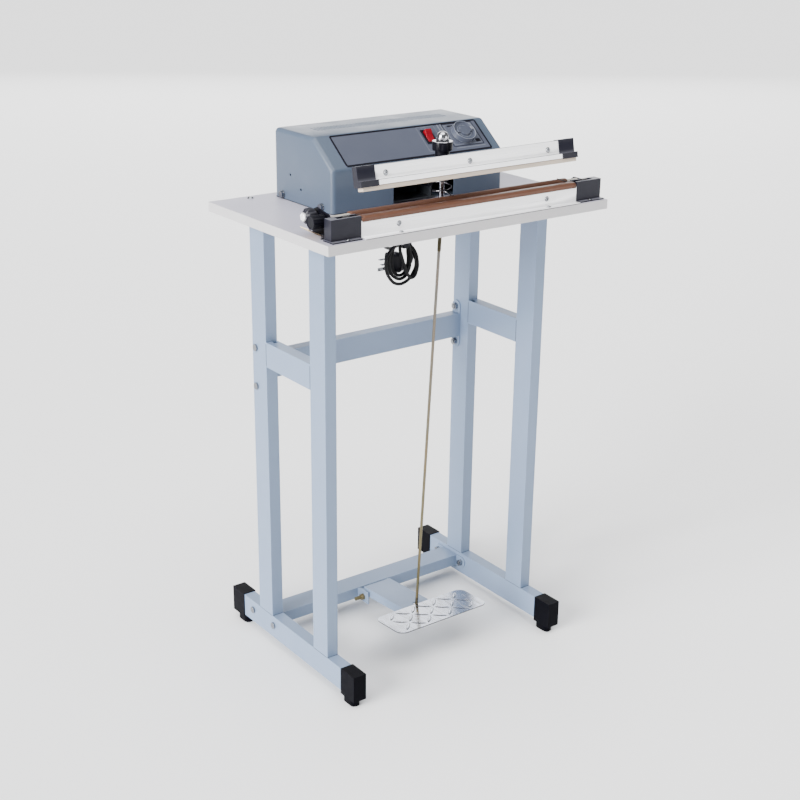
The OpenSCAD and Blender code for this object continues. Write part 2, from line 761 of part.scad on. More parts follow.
// Spring-loaded lever in each end box that keeps the wire straight
module tension_lever(side) color("#a9a293") in_low() mirror([side < 0 ? 1 : 0, 0, 0]) difference() {
    union() {
        translate([lever_x, -211, lever_z]) rotate([-90, 0, 0]) cylinder(h = 5.5, r = 6);
        block([lever_x - 3, -211, lever_z], [lever_x + 3, -205.5, table_h + 41]);
        block([lever_x - 10, -211, table_h + 38.5], [lever_x + 3, -205.5, table_h + 41]);
    }
    rod_y(lever_x, lever_z, 2 + run);
}

module left_tension_lever() tension_lever(-1);
module right_tension_lever() tension_lever(1);

// Pull springs from the levers to the boxes' outer walls, on their pins
module tension_springs() color("#8f9296") in_low() both() {
    translate([lever_x, bar_y0 + 3.5, lever_z]) rotate([-90, 0, 0]) cylinder(h = 16, r = 2);
    rod_x(lever_x + 6, bar_half + box_len - 1.5, -208.2, table_h + 28, 3);
}

// Straps from the end boxes; the right one has an angled tab that hooks the wire's end
module wire_clamps() color("#3b2f2a") in_low() {
    both() block([tab_x - 1, -200.6, hump_z], [bar_half + 0.5, -197.6, hump_z + 1.2]);
    translate([tab_x, -200.8, hump_z]) rotate([0, 18, 0]) translate([-24, 0, 0]) cube([25, 3.6, 2.2]);
}

// -------------------------------------------------------------- upper jaw

module jaw_arm() color("#6f7d8c") in_jaw() difference() {
    union() {
        block([-arm_w / 2, bar_back, arm_top - arm_t], [arm_w / 2, 8, arm_top]);
        for (s = [-1, 1])
            block([min(s * arm_w / 2, s * (arm_w / 2 - arm_t)), bar_back, arm_bottom],
                  [max(s * arm_w / 2, s * (arm_w / 2 - arm_t)), 10, arm_top]);
        block([-arm_w / 2, bar_back, arm_bottom], [arm_w / 2, bar_back + arm_t, arm_top + 7]);
    }
    rod_x(-60, 60, 0, 0, shaft_r + run);
    block([-6.5, -115, 0], [6.5, -97, 20]);
    for (s = [-1, 1])
        translate([s * arm_screw_x, bar_back - 1, 0]) rotate([-90, 0, 0]) cylinder(h = 10, r = arm_screw_hole);
}

// Hollow aluminium jaw with the lip that holds the silicone strip
module upper_jaw_bar() color("#eef0f2") in_jaw() difference() {
    along_x(-jaw_w / 2 + cap_end_t, jaw_w / 2 - cap_end_t) difference() {
        polygon([
            [face_y, bar_top], [face_y, lip_top], [lip_y, lip_top], [lip_y, lip_bottom],
            [bar_back, lip_bottom], [bar_back, bar_top]
        ]);
        translate([face_y + 1.6, lip_top]) square([bar_back - face_y - 3.2, bar_top - lip_top - 1.6]);
        translate([strip_y0 - 0.2, lip_bottom - 1]) square([strip_y1 - strip_y0 + 0.4, 3.5]);
    }
    for (k = [-1, 0, 1])
        translate([jaw_screw_x + k * jaw_screw_pitch, face_y - 1, jaw_screw_z])
            rotate([-90, 0, 0]) cylinder(h = 8, r = screw_hole);
    for (s = [-1, 1])
        translate([s * arm_screw_x, bar_back - 5, 0]) rotate([-90, 0, 0]) cylinder(h = 10, r = arm_screw_hole);
}

module upper_jaw_caps() color("#26272d") in_jaw() both() difference() {
    along_x(jaw_w / 2 - cap_in, jaw_w / 2) polygon([
        [face_y - cap_wall_t, bar_top + cap_wall_t], [face_y - cap_wall_t, lip_top + 1], [lip_y - 1, lip_top + 1],
        [lip_y - 1, cap_bottom], [bar_back + cap_wall_t, cap_bottom], [bar_back + cap_wall_t, bar_top + cap_wall_t]
    ]);
    along_x(jaw_w / 2 - cap_in - 1, jaw_w / 2 - cap_end_t) polygon([
        [face_y, bar_top], [face_y, lip_top], [lip_y, lip_top], [lip_y, cap_bottom - 1],
        [bar_back, cap_bottom - 1], [bar_back, bar_top]
    ]);
}

module upper_jaw_screws() color("#b7b9bc") in_jaw() {
    for (k = [-1, 0, 1])
        translate([jaw_screw_x + k * jaw_screw_pitch, face_y, jaw_screw_z]) rotate([90, 0, 0]) pan_head(4.2);
    for (s = [-1, 1]) translate([s * arm_screw_x, bar_back + arm_t, 0]) rotate([-90, 0, 0]) pan_head(4.5);
}

module silicone_strip() color("#d9cfc4") in_jaw()
    translate([0, strip_y0, strip_bottom])
        block([strip_x0, 0, 0], [jaw_w / 2 - 1.8, strip_y1 - strip_y0, lip_bottom + 2.5 - strip_bottom]);

// ------------------------------------------------ spindle, spring, pull rod

module spindle_bush() color("#b98f3e") translate([0, spindle_y, 0]) difference() {
    union() {
        translate([0, 0, table_z - 3]) cylinder(h = table_t + 3, r = bush_r);
        translate([0, 0, table_h]) cylinder(h = 2.5, r = 13);
    }
    cylinder(h = 2 * far, r = spindle_r + run);
}

// Guide spindle; its top end is held in the domed nut
module spindle() color("#c9ccd1")
    translate([0, spindle_y, spindle_low]) cylinder(h = spindle_top - spindle_low, r = spindle_r);

// Fluted hand knob on a round boss with a domed seat
module pressure_knob() color("#17181b") translate([0, spindle_y, 0]) difference() {
    union() {
        translate([0, 0, knob_z0]) cylinder(h = knob_z1 - knob_z0, r = knob_r);
        translate([0, 0, nose_z + 5]) cylinder(h = knob_z0 - nose_z - 5 + eps, r = knob_boss_r);
        translate([0, 0, nose_z]) cylinder(h = 5 + eps, r1 = 8, r2 = 12);
    }
    for (a = [0 : 45 : 315]) rotate([0, 0, a + 22.5])
        translate([knob_r + 4, 0, knob_z0 - 1]) cylinder(h = 40, r = 5.2);
    cylinder(h = 2 * far, r = spindle_r + run);
}

module knob_nut() color("#d5d7da") translate([0, spindle_y, 0]) difference() {
    union() {
        translate([0, 0, knob_z1 + gap]) cylinder(h = 1.5, r = knob_r - 0.2);
        translate([0, 0, knob_z1 + 1.7]) cylinder(h = 7, d = 20.5 / cos(30), $fn = 6);
        intersection() {
            translate([0, 0, 1059]) sphere(r = 11.5);
            translate([0, 0, knob_z1 + 2]) cylinder(h = 30, r = 20);
        }
    }
    cylinder(h = spindle_top, r = spindle_r);
}

// Compression spring between the bush and the arm
module return_spring() color("#c9ccd1") {
    z0 = table_h + 2.5 + spring_wire;
    z1 = 1007.5 - spring_wire;
    steps = spring_turns * 16;
    sweep([for (i = [0 : steps])
        let (a = 180 + i * 22.5)
        [spring_r * cos(a), spindle_y + spring_r * sin(a), z0 + (z1 - z0) * i / steps]],
        spring_wire, 6);
}

// A round bar from one point to another
module bar_between(a, b, r) {
    d = b - a;
    translate(a) rotate([0, acos(d[2] / norm(d)), atan2(d[1], d[0])]) cylinder(h = norm(d), r = r);
}

// Pull rod: ball end in the spindle, threaded sleeve, nut under the pedal
module pull_rod() color("#a08a4a") {
    translate(rod_top) sphere(r = 4.8);
    bar_between(rod_top, rod_end, rod_r);
    bar_between(rod_top, rod_top + sleeve_len * unit(rod_end - rod_top), 3.7);
    translate([rod_end[0], rod_end[1] - 0.6, 69.5]) cylinder(h = 6, d = 12 / cos(30), $fn = 6);
}

// ------------------------------------------------------------------ pedal

module pedal_arm() color("#a9bccb") in_pedal() difference() {
    union() {
        block([-pedal_half, -205, pedal_top - pedal_t], [pedal_half, 3, pedal_top]);
        for (s = [-1, 1]) {
            x0 = min(s * pedal_half, s * (pedal_half - pedal_t));
            block([x0, -205, pedal_top - pedal_skirt], [x0 + pedal_t, 3, pedal_top]);
            rod_x(x0, x0 + pedal_t, 0, 0, 9);
            block([x0, -9, 0], [x0 + pedal_t, 9, 10]);
        }
    }
    rod_x(-60, 60, 0, 0, hinge_r + run);
    translate([rod_end[0], -134.5, 0]) block([-5.5, -7, 0], [5.5, 7, 40]);
}

// Tread plate with rounded corners
module tread_plate() color("#c4c9cc") in_pedal() translate([tread_x, tread_back, pedal_top]) {
    r = 18;
    block([-tread_w / 2 + r, -tread_d, 0], [tread_w / 2 - r, 0, tread_t]);
    block([-tread_w / 2, -tread_d + r, 0], [tread_w / 2, -r, tread_t]);
    for (x = [-1, 1], y = [-tread_d + r, -r])
        translate([x * (tread_w / 2 - r), y, 0]) cylinder(h = tread_t, r = r);
}

// ------------------------------------------------------------- power cord

module power_cord() color("#151518") {
    sweep(curve(lead_route, 2), cord_r, 8);
    sweep(curve(tail_route, 2), cord_r, 8);
}

// Oval band that the turns fill, in the XZ plane
module oval(r) for (k = [-1, 1]) translate([0, k * coil_run / 2]) circle(r = r);
module cord_coil() color("#151518") translate(coil_c) rotate([90, 0, 0])
    translate([0, 0, -coil_half]) linear_extrude(height = 2 * coil_half) difference() {
        union() {
            oval(coil_end_r + coil_band);
            translate([-coil_end_r - coil_band, -coil_run / 2]) square([2 * (coil_end_r + coil_band), coil_run]);
        }
        oval(coil_end_r - coil_band);
        translate([-coil_end_r + coil_band, -coil_run / 2]) square([2 * (coil_end_r - coil_band), coil_run]);
    }

// Gland through the board
module cord_gland() translate([gland_p[0], gland_p[1], 0]) {
    translate([0, 0, gland_z]) cylinder(h = table_z - 4 - gland_z, r1 = 5, r2 = 8);
    translate([0, 0, table_z - 4]) cylinder(h = 4, r = 12);
    translate([0, 0, table_z - eps]) cylinder(h = table_t, r = 7.8);
}

// Strap under the board that the coil hangs in
module cable_strap() translate([coil_c[0], coil_c[1], 0]) difference() {
    block([-5, -13, 882], [5, 13, table_z]);
    block([-6, -10.5, 884.5], [6, 10.5, table_z - 2]);
}

module cord_fixings() color("#1b1c20") {
    cord_gland();
    cable_strap();
}

// Three-pin plug: pins to the left, cord entry low on the right
module power_plug() color("#17181b") translate(plug_c) {
    translate([-13, -12, -20]) cube([25, 24, 40]);
    translate([11, 0, -12]) rotate([0, 90, 0]) cylinder(h = 11, r1 = 7, r2 = 4.5);
    translate([-33, -3.2, 9]) cube([20 + eps, 6.4, 1.6]);
    translate([-29, -3.2, -0.8]) cube([16 + eps, 6.4, 1.6]);
    translate([-36, -0.8, -11]) cube([23 + eps, 1.6, 6.3]);
}

left_foot_rail();
right_foot_rail();
left_front_leg();
left_rear_leg();
right_front_leg();
right_rear_leg();
left_side_rail();
right_side_rail();
mid_beam();
lower_beam();
pedal_lugs();
foot_caps();
fasteners();
worktop();
worktop_edging();
housing();
housing_base();
control_panel();
switch_body();
power_rocker();
timer_dial();
timer_board();
transformer();
terminal_block();
microswitch();
microswitch_lever();
arm_bracket();
pivot_shaft();
lower_jaw_bar();
insulation_strip();
heating_wire();
ptfe_cloth();
left_end_box();
right_end_box();
lower_jaw_screws();
roller_brackets();
cloth_roller();
roller_lock_knob();
left_tension_lever();
right_tension_lever();
tension_springs();
wire_clamps();
jaw_arm();
upper_jaw_bar();
upper_jaw_caps();
upper_jaw_screws();
silicone_strip();
spindle_bush();
spindle();
pressure_knob();
knob_nut();
return_spring();
pull_rod();
pedal_arm();
tread_plate();
power_cord();
cord_coil();
power_plug();
cord_fixings();
hinge_bolt();
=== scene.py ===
# Looks of the foot-pedal impulse heat sealer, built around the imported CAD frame.
import json
import math

import bmesh
import bpy
from mathutils import Matrix, Vector

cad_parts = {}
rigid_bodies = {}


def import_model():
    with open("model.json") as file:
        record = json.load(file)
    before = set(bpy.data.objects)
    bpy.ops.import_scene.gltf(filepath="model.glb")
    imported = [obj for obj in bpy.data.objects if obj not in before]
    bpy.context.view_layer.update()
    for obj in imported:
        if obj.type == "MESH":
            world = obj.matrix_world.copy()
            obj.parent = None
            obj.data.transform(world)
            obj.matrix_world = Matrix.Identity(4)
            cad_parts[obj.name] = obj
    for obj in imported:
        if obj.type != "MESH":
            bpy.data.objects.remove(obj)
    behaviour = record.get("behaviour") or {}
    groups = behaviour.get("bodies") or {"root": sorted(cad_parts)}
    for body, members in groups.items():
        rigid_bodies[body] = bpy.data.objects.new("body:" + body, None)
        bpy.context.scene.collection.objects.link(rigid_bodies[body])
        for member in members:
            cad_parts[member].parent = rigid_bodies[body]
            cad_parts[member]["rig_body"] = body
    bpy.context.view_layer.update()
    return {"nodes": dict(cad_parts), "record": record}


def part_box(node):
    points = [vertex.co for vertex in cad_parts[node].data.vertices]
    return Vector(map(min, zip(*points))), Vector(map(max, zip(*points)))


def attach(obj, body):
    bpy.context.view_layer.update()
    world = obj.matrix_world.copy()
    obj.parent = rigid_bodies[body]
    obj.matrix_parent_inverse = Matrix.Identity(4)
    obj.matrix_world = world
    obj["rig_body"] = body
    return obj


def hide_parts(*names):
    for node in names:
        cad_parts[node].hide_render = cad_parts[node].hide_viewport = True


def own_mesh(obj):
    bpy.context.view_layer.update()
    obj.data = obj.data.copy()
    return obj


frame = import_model()
scene = bpy.context.scene
MM = 0.001


# ------------------------------------------------------------------ camera
def make_camera():
    """Camera at the front left, looking down."""
    azimuth, elevation, roll = map(math.radians, (-36.16, 21.44, 0.51))
    back = Vector((math.sin(azimuth) * math.cos(elevation),
                   -math.cos(azimuth) * math.cos(elevation), math.sin(elevation)))
    right = Vector((math.cos(azimuth), math.sin(azimuth), 0))
    up = back.cross(right)
    side = right * math.cos(roll) + up * math.sin(roll)
    top = up * math.cos(roll) - right * math.sin(roll)
    data = bpy.data.cameras.new("camera")
    data.lens = 63.46
    data.sensor_width = 36
    data.shift_x = 0.0138
    data.shift_y = 0.0239
    data.clip_end = 200
    camera = bpy.data.objects.new("camera", data)
    turn = Matrix((side, top, back)).transposed().to_4x4()
    camera.matrix_world = Matrix.Translation((-1.5828, -2.1352, 1.5157)) @ turn
    scene.collection.objects.link(camera)
    scene.camera = camera


make_camera()


# ------------------------------------------------------------- mesh helpers
def add_object(name, mesh, material=None):
    obj = bpy.data.objects.new(name, mesh)
    scene.collection.objects.link(obj)
    if material is not None:
        mesh.materials.append(material)
    return obj


def shade(mesh, angle=35):
    mesh.polygons.foreach_set("use_smooth", [True] * len(mesh.polygons))
    mesh.set_sharp_from_angle(angle=math.radians(angle))


def finish_mesh(name, bm, material, angle=35):
    bmesh.ops.recalc_face_normals(bm, faces=bm.faces)
    mesh = bpy.data.meshes.new(name)
    bm.to_mesh(mesh)
    bm.free()
    shade(mesh, angle)
    return add_object(name, mesh, material)


def place(obj, body, slot, *nodes):
    """The piece rides on a body and may stand for CAD nodes. The slot is not used."""
    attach(obj, body)
    if nodes:
        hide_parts(*nodes)
    return obj


def bevel(obj, width, segments=2, angle=40):
    mod = obj.modifiers.new("round_edges", "BEVEL")
    mod.width = width
    mod.segments = segments
    mod.limit_method = "ANGLE"
    mod.angle_limit = math.radians(angle)
    mod.use_clamp_overlap = True
    mod.harden_normals = True
    return obj


def frame_axes(normal):
    """Two directions across a normal."""
    n = Vector(normal).normalized()
    a = n.orthogonal().normalized()
    return a, n.cross(a), n


def lathe(bm, profile, origin=(0, 0, 0), axis=(0, 0, 1), steps=48, wave=None):
    """Turns (radius, height) points about an axis; wave(angle, i) scales a ring's radius."""
    a, b, n = frame_axes(axis)
    rings = []
    for i, (r, h) in enumerate(profile):
        centre = Vector(origin) + n * h
        if r < 1e-7:
            rings.append([bm.verts.new(centre)])
            continue
        ring = []
        for k in range(steps):
            t = 2 * math.pi * k / steps
            s = r * (wave(t, i) if wave else 1)
            ring.append(bm.verts.new(centre + (a * math.cos(t) + b * math.sin(t)) * s))
        rings.append(ring)
    for low, high in zip(rings, rings[1:]):
        for k in range(steps):
            m = (k + 1) % steps
            if len(low) == 1 and len(high) > 1:
                bm.faces.new((low[0], high[k], high[m]))
            elif len(high) == 1 and len(low) > 1:
                bm.faces.new((low[k], low[m], high[0]))
            elif len(low) > 1:
                bm.faces.new((low[k], low[m], high[m], high[k]))


def tube(bm, points, radius, sides=12, squash=1.0):
    """Sweeps a round section along points, with closed ends."""
    pts = [Vector(p) for p in points]
    normal = None
    rings = []
    for i, p in enumerate(pts):
        t = (pts[min(i + 1, len(pts) - 1)] - pts[max(i - 1, 0)]).normalized()
        normal = t.orthogonal() if normal is None else normal - normal.dot(t) * t
        normal.normalize()
        side = t.cross(normal)
        rings.append([bm.verts.new(p + radius * (math.cos(a) * normal + math.sin(a) * squash * side))
                      for a in (2 * math.pi * k / sides for k in range(sides))])
    for low, high in zip(rings, rings[1:]):
        for k in range(sides):
            m = (k + 1) % sides
            bm.faces.new((low[k], low[m], high[m], high[k]))
    bm.faces.new(rings[0][::-1])
    bm.faces.new(rings[-1])


def box(bm, low, high, turn=None):
    low, high = Vector(low), Vector(high)
    size, centre = high - low, (low + high) / 2
    m = Matrix.Translation(centre) @ Matrix.Diagonal((*size, 1))
    if turn is not None:
        m = turn @ m
    bmesh.ops.create_cube(bm, size=1, matrix=m)


def soften(node, material, width, segments=2, angle=40, extra=None):
    """A copy of a CAD node with rounded edges, which stands for it."""
    bm = bmesh.new()
    bm.from_mesh(frame["nodes"][node].data)
    bmesh.ops.remove_doubles(bm, verts=bm.verts, dist=2e-6)
    bmesh.ops.dissolve_limit(bm, angle_limit=math.radians(1), verts=bm.verts, edges=bm.edges)
    if extra is not None:
        extra(bm)
    obj = finish_mesh(node + "_shell", bm, material, 40)
    if width:
        bevel(obj, width, segments, angle)
    return place(obj, *home(node), node)


def home(node):
    """The body and the material slot of a CAD node."""
    slot = next(s["material_slot"] for s in frame["record"]["subparts"] if s["node"] == node)
    return frame["nodes"][node]["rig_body"], slot


def part(name, bm, look, node, stands_for=False, angle=35):
    """A piece that goes with a CAD node, or stands for it."""
    obj = finish_mesh(name, bm, LOOKS[look], angle)
    return place(obj, *home(node), *((node,) if stands_for else ()))


def turned(origin, degrees):
    """Frame whose X stays along the machine, tipped about X."""
    return Matrix.Translation(Vector(origin) * MM) @ Matrix.Rotation(math.radians(degrees), 4, "X")


SLOPE = turned((0, -50, 1006), math.degrees(math.atan2(51, 65)))
JAW = turned((0, -22, 985), -12)
PEDAL = turned((0, 65, 50), -4.1)


def mm_lathe(bm, profile, origin, axis=(0, 0, 1), steps=48, wave=None):
    """A lathe with its profile and origin in millimetres."""
    lathe(bm, [(r * MM, h * MM) for r, h in profile], [c * MM for c in origin], axis, steps, wave)


def mm_box(bm, low, high, turn=None):
    box(bm, [c * MM for c in low], [c * MM for c in high], turn)


def moved(bm, matrix, build):
    """Runs build(bm) and moves only what it adds."""
    before = set(bm.verts)
    build(bm)
    bmesh.ops.transform(bm, matrix=matrix, verts=[v for v in bm.verts if v not in before])


def screw(bm, at, axis, r=4.0, h=2.3):
    """Pan head with a cross recess."""
    def cross(t, i):
        return 1 if i < 5 else 0.40 + 0.60 * abs(math.cos(2 * t)) ** 5
    mm_lathe(bm, [(r * 0.96, -0.05), (r, 0.25 * h), (r * 0.93, 0.62 * h), (r * 0.76, 0.93 * h),
                  (r * 0.68, h), (r * 0.62, 0.97 * h), (r * 0.48, 0.42 * h), (0, 0.36 * h)],
             at, axis, 48, cross)


def screw_shadow_ring(bm, at, axis, r=4.0):
    """Narrow dark ring round a screw head: painted shadow of the gap under the head."""
    mm_lathe(bm, [(r * 0.9, 0.02), (r + 0.55, 0.02), (r + 0.55, 0.3), (r * 0.9, 0.3)], at, axis, 36)


def ring_line(bm, x0, x1, s0, s1, width, z, rise=0.12, round_r=0.0, steps=6):
    """A flat printed outline: a rounded rectangle on a plate, in millimetres."""
    def loop(d):
        r = max(round_r - d, 0.01)
        points = []
        for cx, cy, a0 in ((x1 - d - r, s1 - d - r, 0), (x0 + d + r, s1 - d - r, 90),
                           (x0 + d + r, s0 + d + r, 180), (x1 - d - r, s0 + d + r, 270)):
            for k in range(steps + 1):
                a = math.radians(a0 + 90 * k / steps)
                points.append((cx + r * math.cos(a), cy + r * math.sin(a)))
        return points
    rows = []
    for d, h in ((0, z), (0, z + rise), (width, z + rise), (width, z)):
        rows.append([bm.verts.new((x * MM, y * MM, h * MM)) for x, y in loop(d)])
    for a, b in zip(rows, rows[1:]):
        for k in range(len(a)):
            m = (k + 1) % len(a)
            bm.faces.new((a[k], a[m], b[m], b[k]))


# --------------------------------------------------------------- materials
class Look:
    """A procedural material: helpers around one Principled shader."""

    def __init__(self, name, rough=0.5, metal=0.0, coat=0.0, specular=0.5):
        self.mat = bpy.data.materials.new(name)
        self.mat.use_nodes = True
        self.tree = self.mat.node_tree
        self.shader = self.tree.nodes["Principled BSDF"]
        self.shader.inputs["Metallic"].default_value = metal
        self.shader.inputs["Roughness"].default_value = rough
        self.shader.inputs["Coat Weight"].default_value = coat
        self.shader.inputs["Coat Roughness"].default_value = 0.12
        self.shader.inputs["Specular IOR Level"].default_value = specular
        self.coord = self.tree.nodes.new("ShaderNodeTexCoord").outputs["Object"]

    def node(self, kind, **values):
        n = self.tree.nodes.new(kind)
        for key, value in values.items():
            setattr(n, key, value)
        return n

    def link(self, a, b):
        self.tree.links.new(a, b)

    def stretched(self, scale):
        m = self.node("ShaderNodeMapping")
        m.inputs["Scale"].default_value = scale
        self.link(self.coord, m.inputs["Vector"])
        return m.outputs["Vector"]

    def noise(self, scale, detail=2.0, stretch=None, rough=0.5):
        n = self.node("ShaderNodeTexNoise")
        n.inputs["Scale"].default_value = scale
        n.inputs["Detail"].default_value = detail
        n.inputs["Roughness"].default_value = rough
        self.link(self.stretched(stretch) if stretch else self.coord, n.inputs["Vector"])
        return n.outputs["Fac"]

    def wave(self, scale, direction="X", distortion=0.0):
        n = self.node("ShaderNodeTexWave", bands_direction=direction)
        n.inputs["Scale"].default_value = scale
        n.inputs["Distortion"].default_value = distortion
        self.link(self.coord, n.inputs["Vector"])
        return n.outputs["Fac"]

    def spread(self, socket, low, high, start=0.3, end=0.7):
        m = self.node("ShaderNodeMapRange")
        for name, value in zip(("From Min", "From Max", "To Min", "To Max"), (start, end, low, high)):
            m.inputs[name].default_value = value
        self.link(socket, m.inputs["Value"])
        return m.outputs["Result"]

    def math(self, operation, a, b):
        m = self.node("ShaderNodeMath", operation=operation)
        for i, v in enumerate((a, b)):
            if isinstance(v, (int, float)):
                m.inputs[i].default_value = v
            else:
                self.link(v, m.inputs[i])
        return m.outputs[0]

    def mix(self, factor, a, b):
        m = self.node("ShaderNodeMix", data_type="RGBA")
        self.link(factor, m.inputs["Factor"])
        for name, v in (("A", a), ("B", b)):
            sockets = [s for s in m.inputs if s.name == name and s.type == "RGBA"]
            if isinstance(v, (tuple, list)):
                sockets[0].default_value = (*v, 1)
            else:
                self.link(v, sockets[0])
        return [s for s in m.outputs if s.type == "RGBA"][0]

    def colour(self, socket):
        self.link(socket, self.shader.inputs["Base Color"])

    def roughness(self, socket):
        self.link(socket, self.shader.inputs["Roughness"])

    def bump(self, height, distance, strength=1.0, under=None):
        b = self.node("ShaderNodeBump")
        b.inputs["Strength"].default_value = strength
        b.inputs["Distance"].default_value = distance
        self.link(height, b.inputs["Height"])
        if under is not None:
            self.link(under, b.inputs["Normal"])
        self.link(b.outputs["Normal"], self.shader.inputs["Normal"])
        return b.outputs["Normal"]

    def toned_by_facing(self, below, above):
        """Mixes in a lighter tone on faces that look up."""
        g = self.node("ShaderNodeSeparateXYZ")
        self.link(self.node("ShaderNodeNewGeometry").outputs["Normal"], g.inputs[0])
        return self.mix(self.spread(g.outputs["Z"], 0, 1, 0.75, 0.97), below, above)

    def edges(self, radius=0.0015):
        """A mask that is 1 on outer and inner edges, where paint and plastic catch light."""
        b = self.node("ShaderNodeBevel", samples=3)
        b.inputs["Radius"].default_value = radius
        g = self.node("ShaderNodeNewGeometry")
        d = self.node("ShaderNodeVectorMath", operation="DOT_PRODUCT")
        self.link(b.outputs["Normal"], d.inputs[0])
        self.link(g.outputs["Normal"], d.inputs[1])
        return self.spread(d.outputs["Value"], 1.0, 0.0, 0.86, 0.985)


def tint(colour, factor):
    return tuple(min(1.0, c * factor) for c in colour)


def painted(name, colour, rough=0.42, peel=0.00010):
    """Powder coat: orange peel, slight drift in colour, edges a little lighter: partly wear, partly a painted
    highlight.
    """
    k = Look(name, rough, coat=0.12, specular=0.35)
    drift = k.mix(k.noise(5, 3), tint(colour, 0.93), tint(colour, 1.07))
    speck = k.mix(k.spread(k.noise(1400, 1), 0, 1, 0.35, 0.65), tint(colour, 0.95), drift)
    # Edges lightened 1.6 times along a noise: partly wear, partly a painted highlight.
    edge_wear_and_highlight = k.math("MULTIPLY", k.edges(), k.spread(k.noise(160, 4), 0.15, 0.8))
    k.colour(k.mix(edge_wear_and_highlight, speck, tint(colour, 1.6)))
    k.roughness(k.spread(k.noise(22, 4), rough - 0.05, rough + 0.08))
    k.bump(k.noise(620, 2), peel, 0.5)
    return k.mat


def moulded(name, colour, rough=0.45, grain=0.00008, coat=0.0, lift=1.9, specular=0.35, upward_tone=None):
    """Moulded plastic with a fine spark-eroded grain, and edges lightened by lift: partly wear, partly a
    painted highlight.
    """
    k = Look(name, rough, coat=coat, specular=specular)
    base = k.mix(k.noise(40, 4), tint(colour, 0.88), tint(colour, 1.14))
    # Edges take the colour lightened by lift: partly wear, partly a painted highlight.
    rubbed_and_highlit_edges = k.math("MULTIPLY", k.edges(0.0012), k.spread(k.noise(220, 3), 0.15, 0.7))
    # Faces that look up take the lighter upward tone.
    if upward_tone:
        base = k.toned_by_facing(base, upward_tone)
    k.colour(k.mix(rubbed_and_highlit_edges, base, tint(colour, lift)))
    k.roughness(k.spread(k.noise(90, 4), rough - 0.07, rough + 0.08))
    k.bump(k.noise(1500, 2), grain, 0.5)
    return k.mat


def metal(name, colour, rough=0.25, streak=None, metallic=1.0, depth=0.00002):
    """Metal with a drawn or brushed grain along the stretch direction."""
    k = Look(name, rough, metal=metallic)
    grain = k.noise(1.0, 3, streak or (500, 500, 500))
    k.colour(k.mix(k.noise(30, 4), tint(colour, 0.9), tint(colour, 1.06)))
    streaks = k.spread(grain, -0.05, 0.07)
    k.roughness(k.math("ADD", streaks, k.spread(k.noise(35, 4), rough - 0.03, rough + 0.05)))
    k.bump(grain, depth, 0.4)
    return k.mat


def laminate_look():
    """Matt light laminate: faint speckle, rubbed patches."""
    k = Look("laminate", 0.42, specular=0.4)
    base = (0.40, 0.39, 0.46)
    cloud = k.mix(k.noise(3.5, 4), tint(base, 0.97), tint(base, 1.03))
    fleck = k.spread(k.noise(900, 2), 0, 0.35, 0.55, 0.72)
    k.colour(k.mix(fleck, cloud, tint(base, 0.86)))
    k.roughness(k.spread(k.noise(9, 5), 0.36, 0.52))
    k.bump(k.noise(1300, 2), 0.00004, 0.5)
    return k.mat


def edging_look():
    """Edge banding with a faint grain along the board and a darker glue line at each arris."""
    k = Look("edging", 0.5, specular=0.35)
    base = (0.50, 0.49, 0.50)
    streaks = k.mix(k.noise(1.0, 3, (40, 40, 700)), tint(base, 0.95), tint(base, 1.04))
    k.colour(k.mix(k.math("MULTIPLY", k.edges(0.0009), 0.6), streaks, tint(base, 0.62)))
    k.roughness(k.spread(k.noise(60, 3), 0.44, 0.6))
    k.bump(k.noise(1.0, 2, (60, 60, 1500)), 0.00004, 0.5)
    return k.mat


def jaw_look(name, colour=(0.96, 0.96, 0.98), metallic=0.4):
    """Satin anodised extrusion: die lines along X."""
    k = Look(name, 0.30, metal=metallic, specular=0.6)
    lines = k.noise(1.0, 3, (5, 1200, 1200))
    k.colour(k.mix(lines, tint(colour, 0.95), tint(colour, 1.03)))
    k.roughness(k.spread(lines, 0.26, 0.42))
    k.bump(lines, 0.00002, 0.5)
    return k.mat


def cloth_look():
    """Brown coated glass cloth: a fine plain weave under a glossy coat."""
    k = Look("coated_cloth", 0.36, coat=0.04, specular=0.22)
    base = (0.105, 0.047, 0.029)
    along, across = k.wave(420, "X"), k.wave(420, "Y")
    weave = k.math("MULTIPLY", along, across)
    tone = k.mix(k.noise(1.0, 4, (3, 260, 260)), tint(base, 0.72), tint(base, 1.35))
    k.colour(k.mix(k.math("MULTIPLY", weave, 0.35), tone, tint(base, 0.6)))
    k.roughness(k.spread(k.noise(1.0, 4, (12, 200, 200)), 0.30, 0.46))
    k.bump(weave, 0.00006, 0.4)
    return k.mat


def zinc_look():
    """Yellow passivated zinc: reddish towards the top, olive and gold lower down."""
    k = Look("yellow_zinc", 0.33, metal=0.75)
    parts = k.node("ShaderNodeSeparateXYZ")
    k.link(k.coord, parts.inputs[0])
    height = k.spread(parts.outputs["Z"], 0, 1, 0.15, 0.85)
    patch = k.spread(k.noise(1.0, 4, (60, 60, 14)), 0, 1)
    low = k.mix(patch, (0.200, 0.150, 0.070), (0.130, 0.125, 0.065))
    high = k.mix(patch, (0.170, 0.135, 0.110), (0.125, 0.125, 0.115))
    k.colour(k.mix(height, low, high))
    k.roughness(k.spread(k.noise(120, 4), 0.26, 0.44))
    k.bump(k.noise(700, 2), 0.00003, 0.4)
    return k.mat


def thread_look():
    """Dark rolled thread on the rod's sleeve."""
    k = Look("thread", 0.4, metal=0.8)
    ridge = k.wave(160, "Z")
    k.colour(k.mix(ridge, (0.025, 0.022, 0.015), (0.15, 0.125, 0.065)))
    k.roughness(k.spread(k.noise(200, 3), 0.3, 0.5))
    k.bump(ridge, 0.0005, 0.8)
    return k.mat


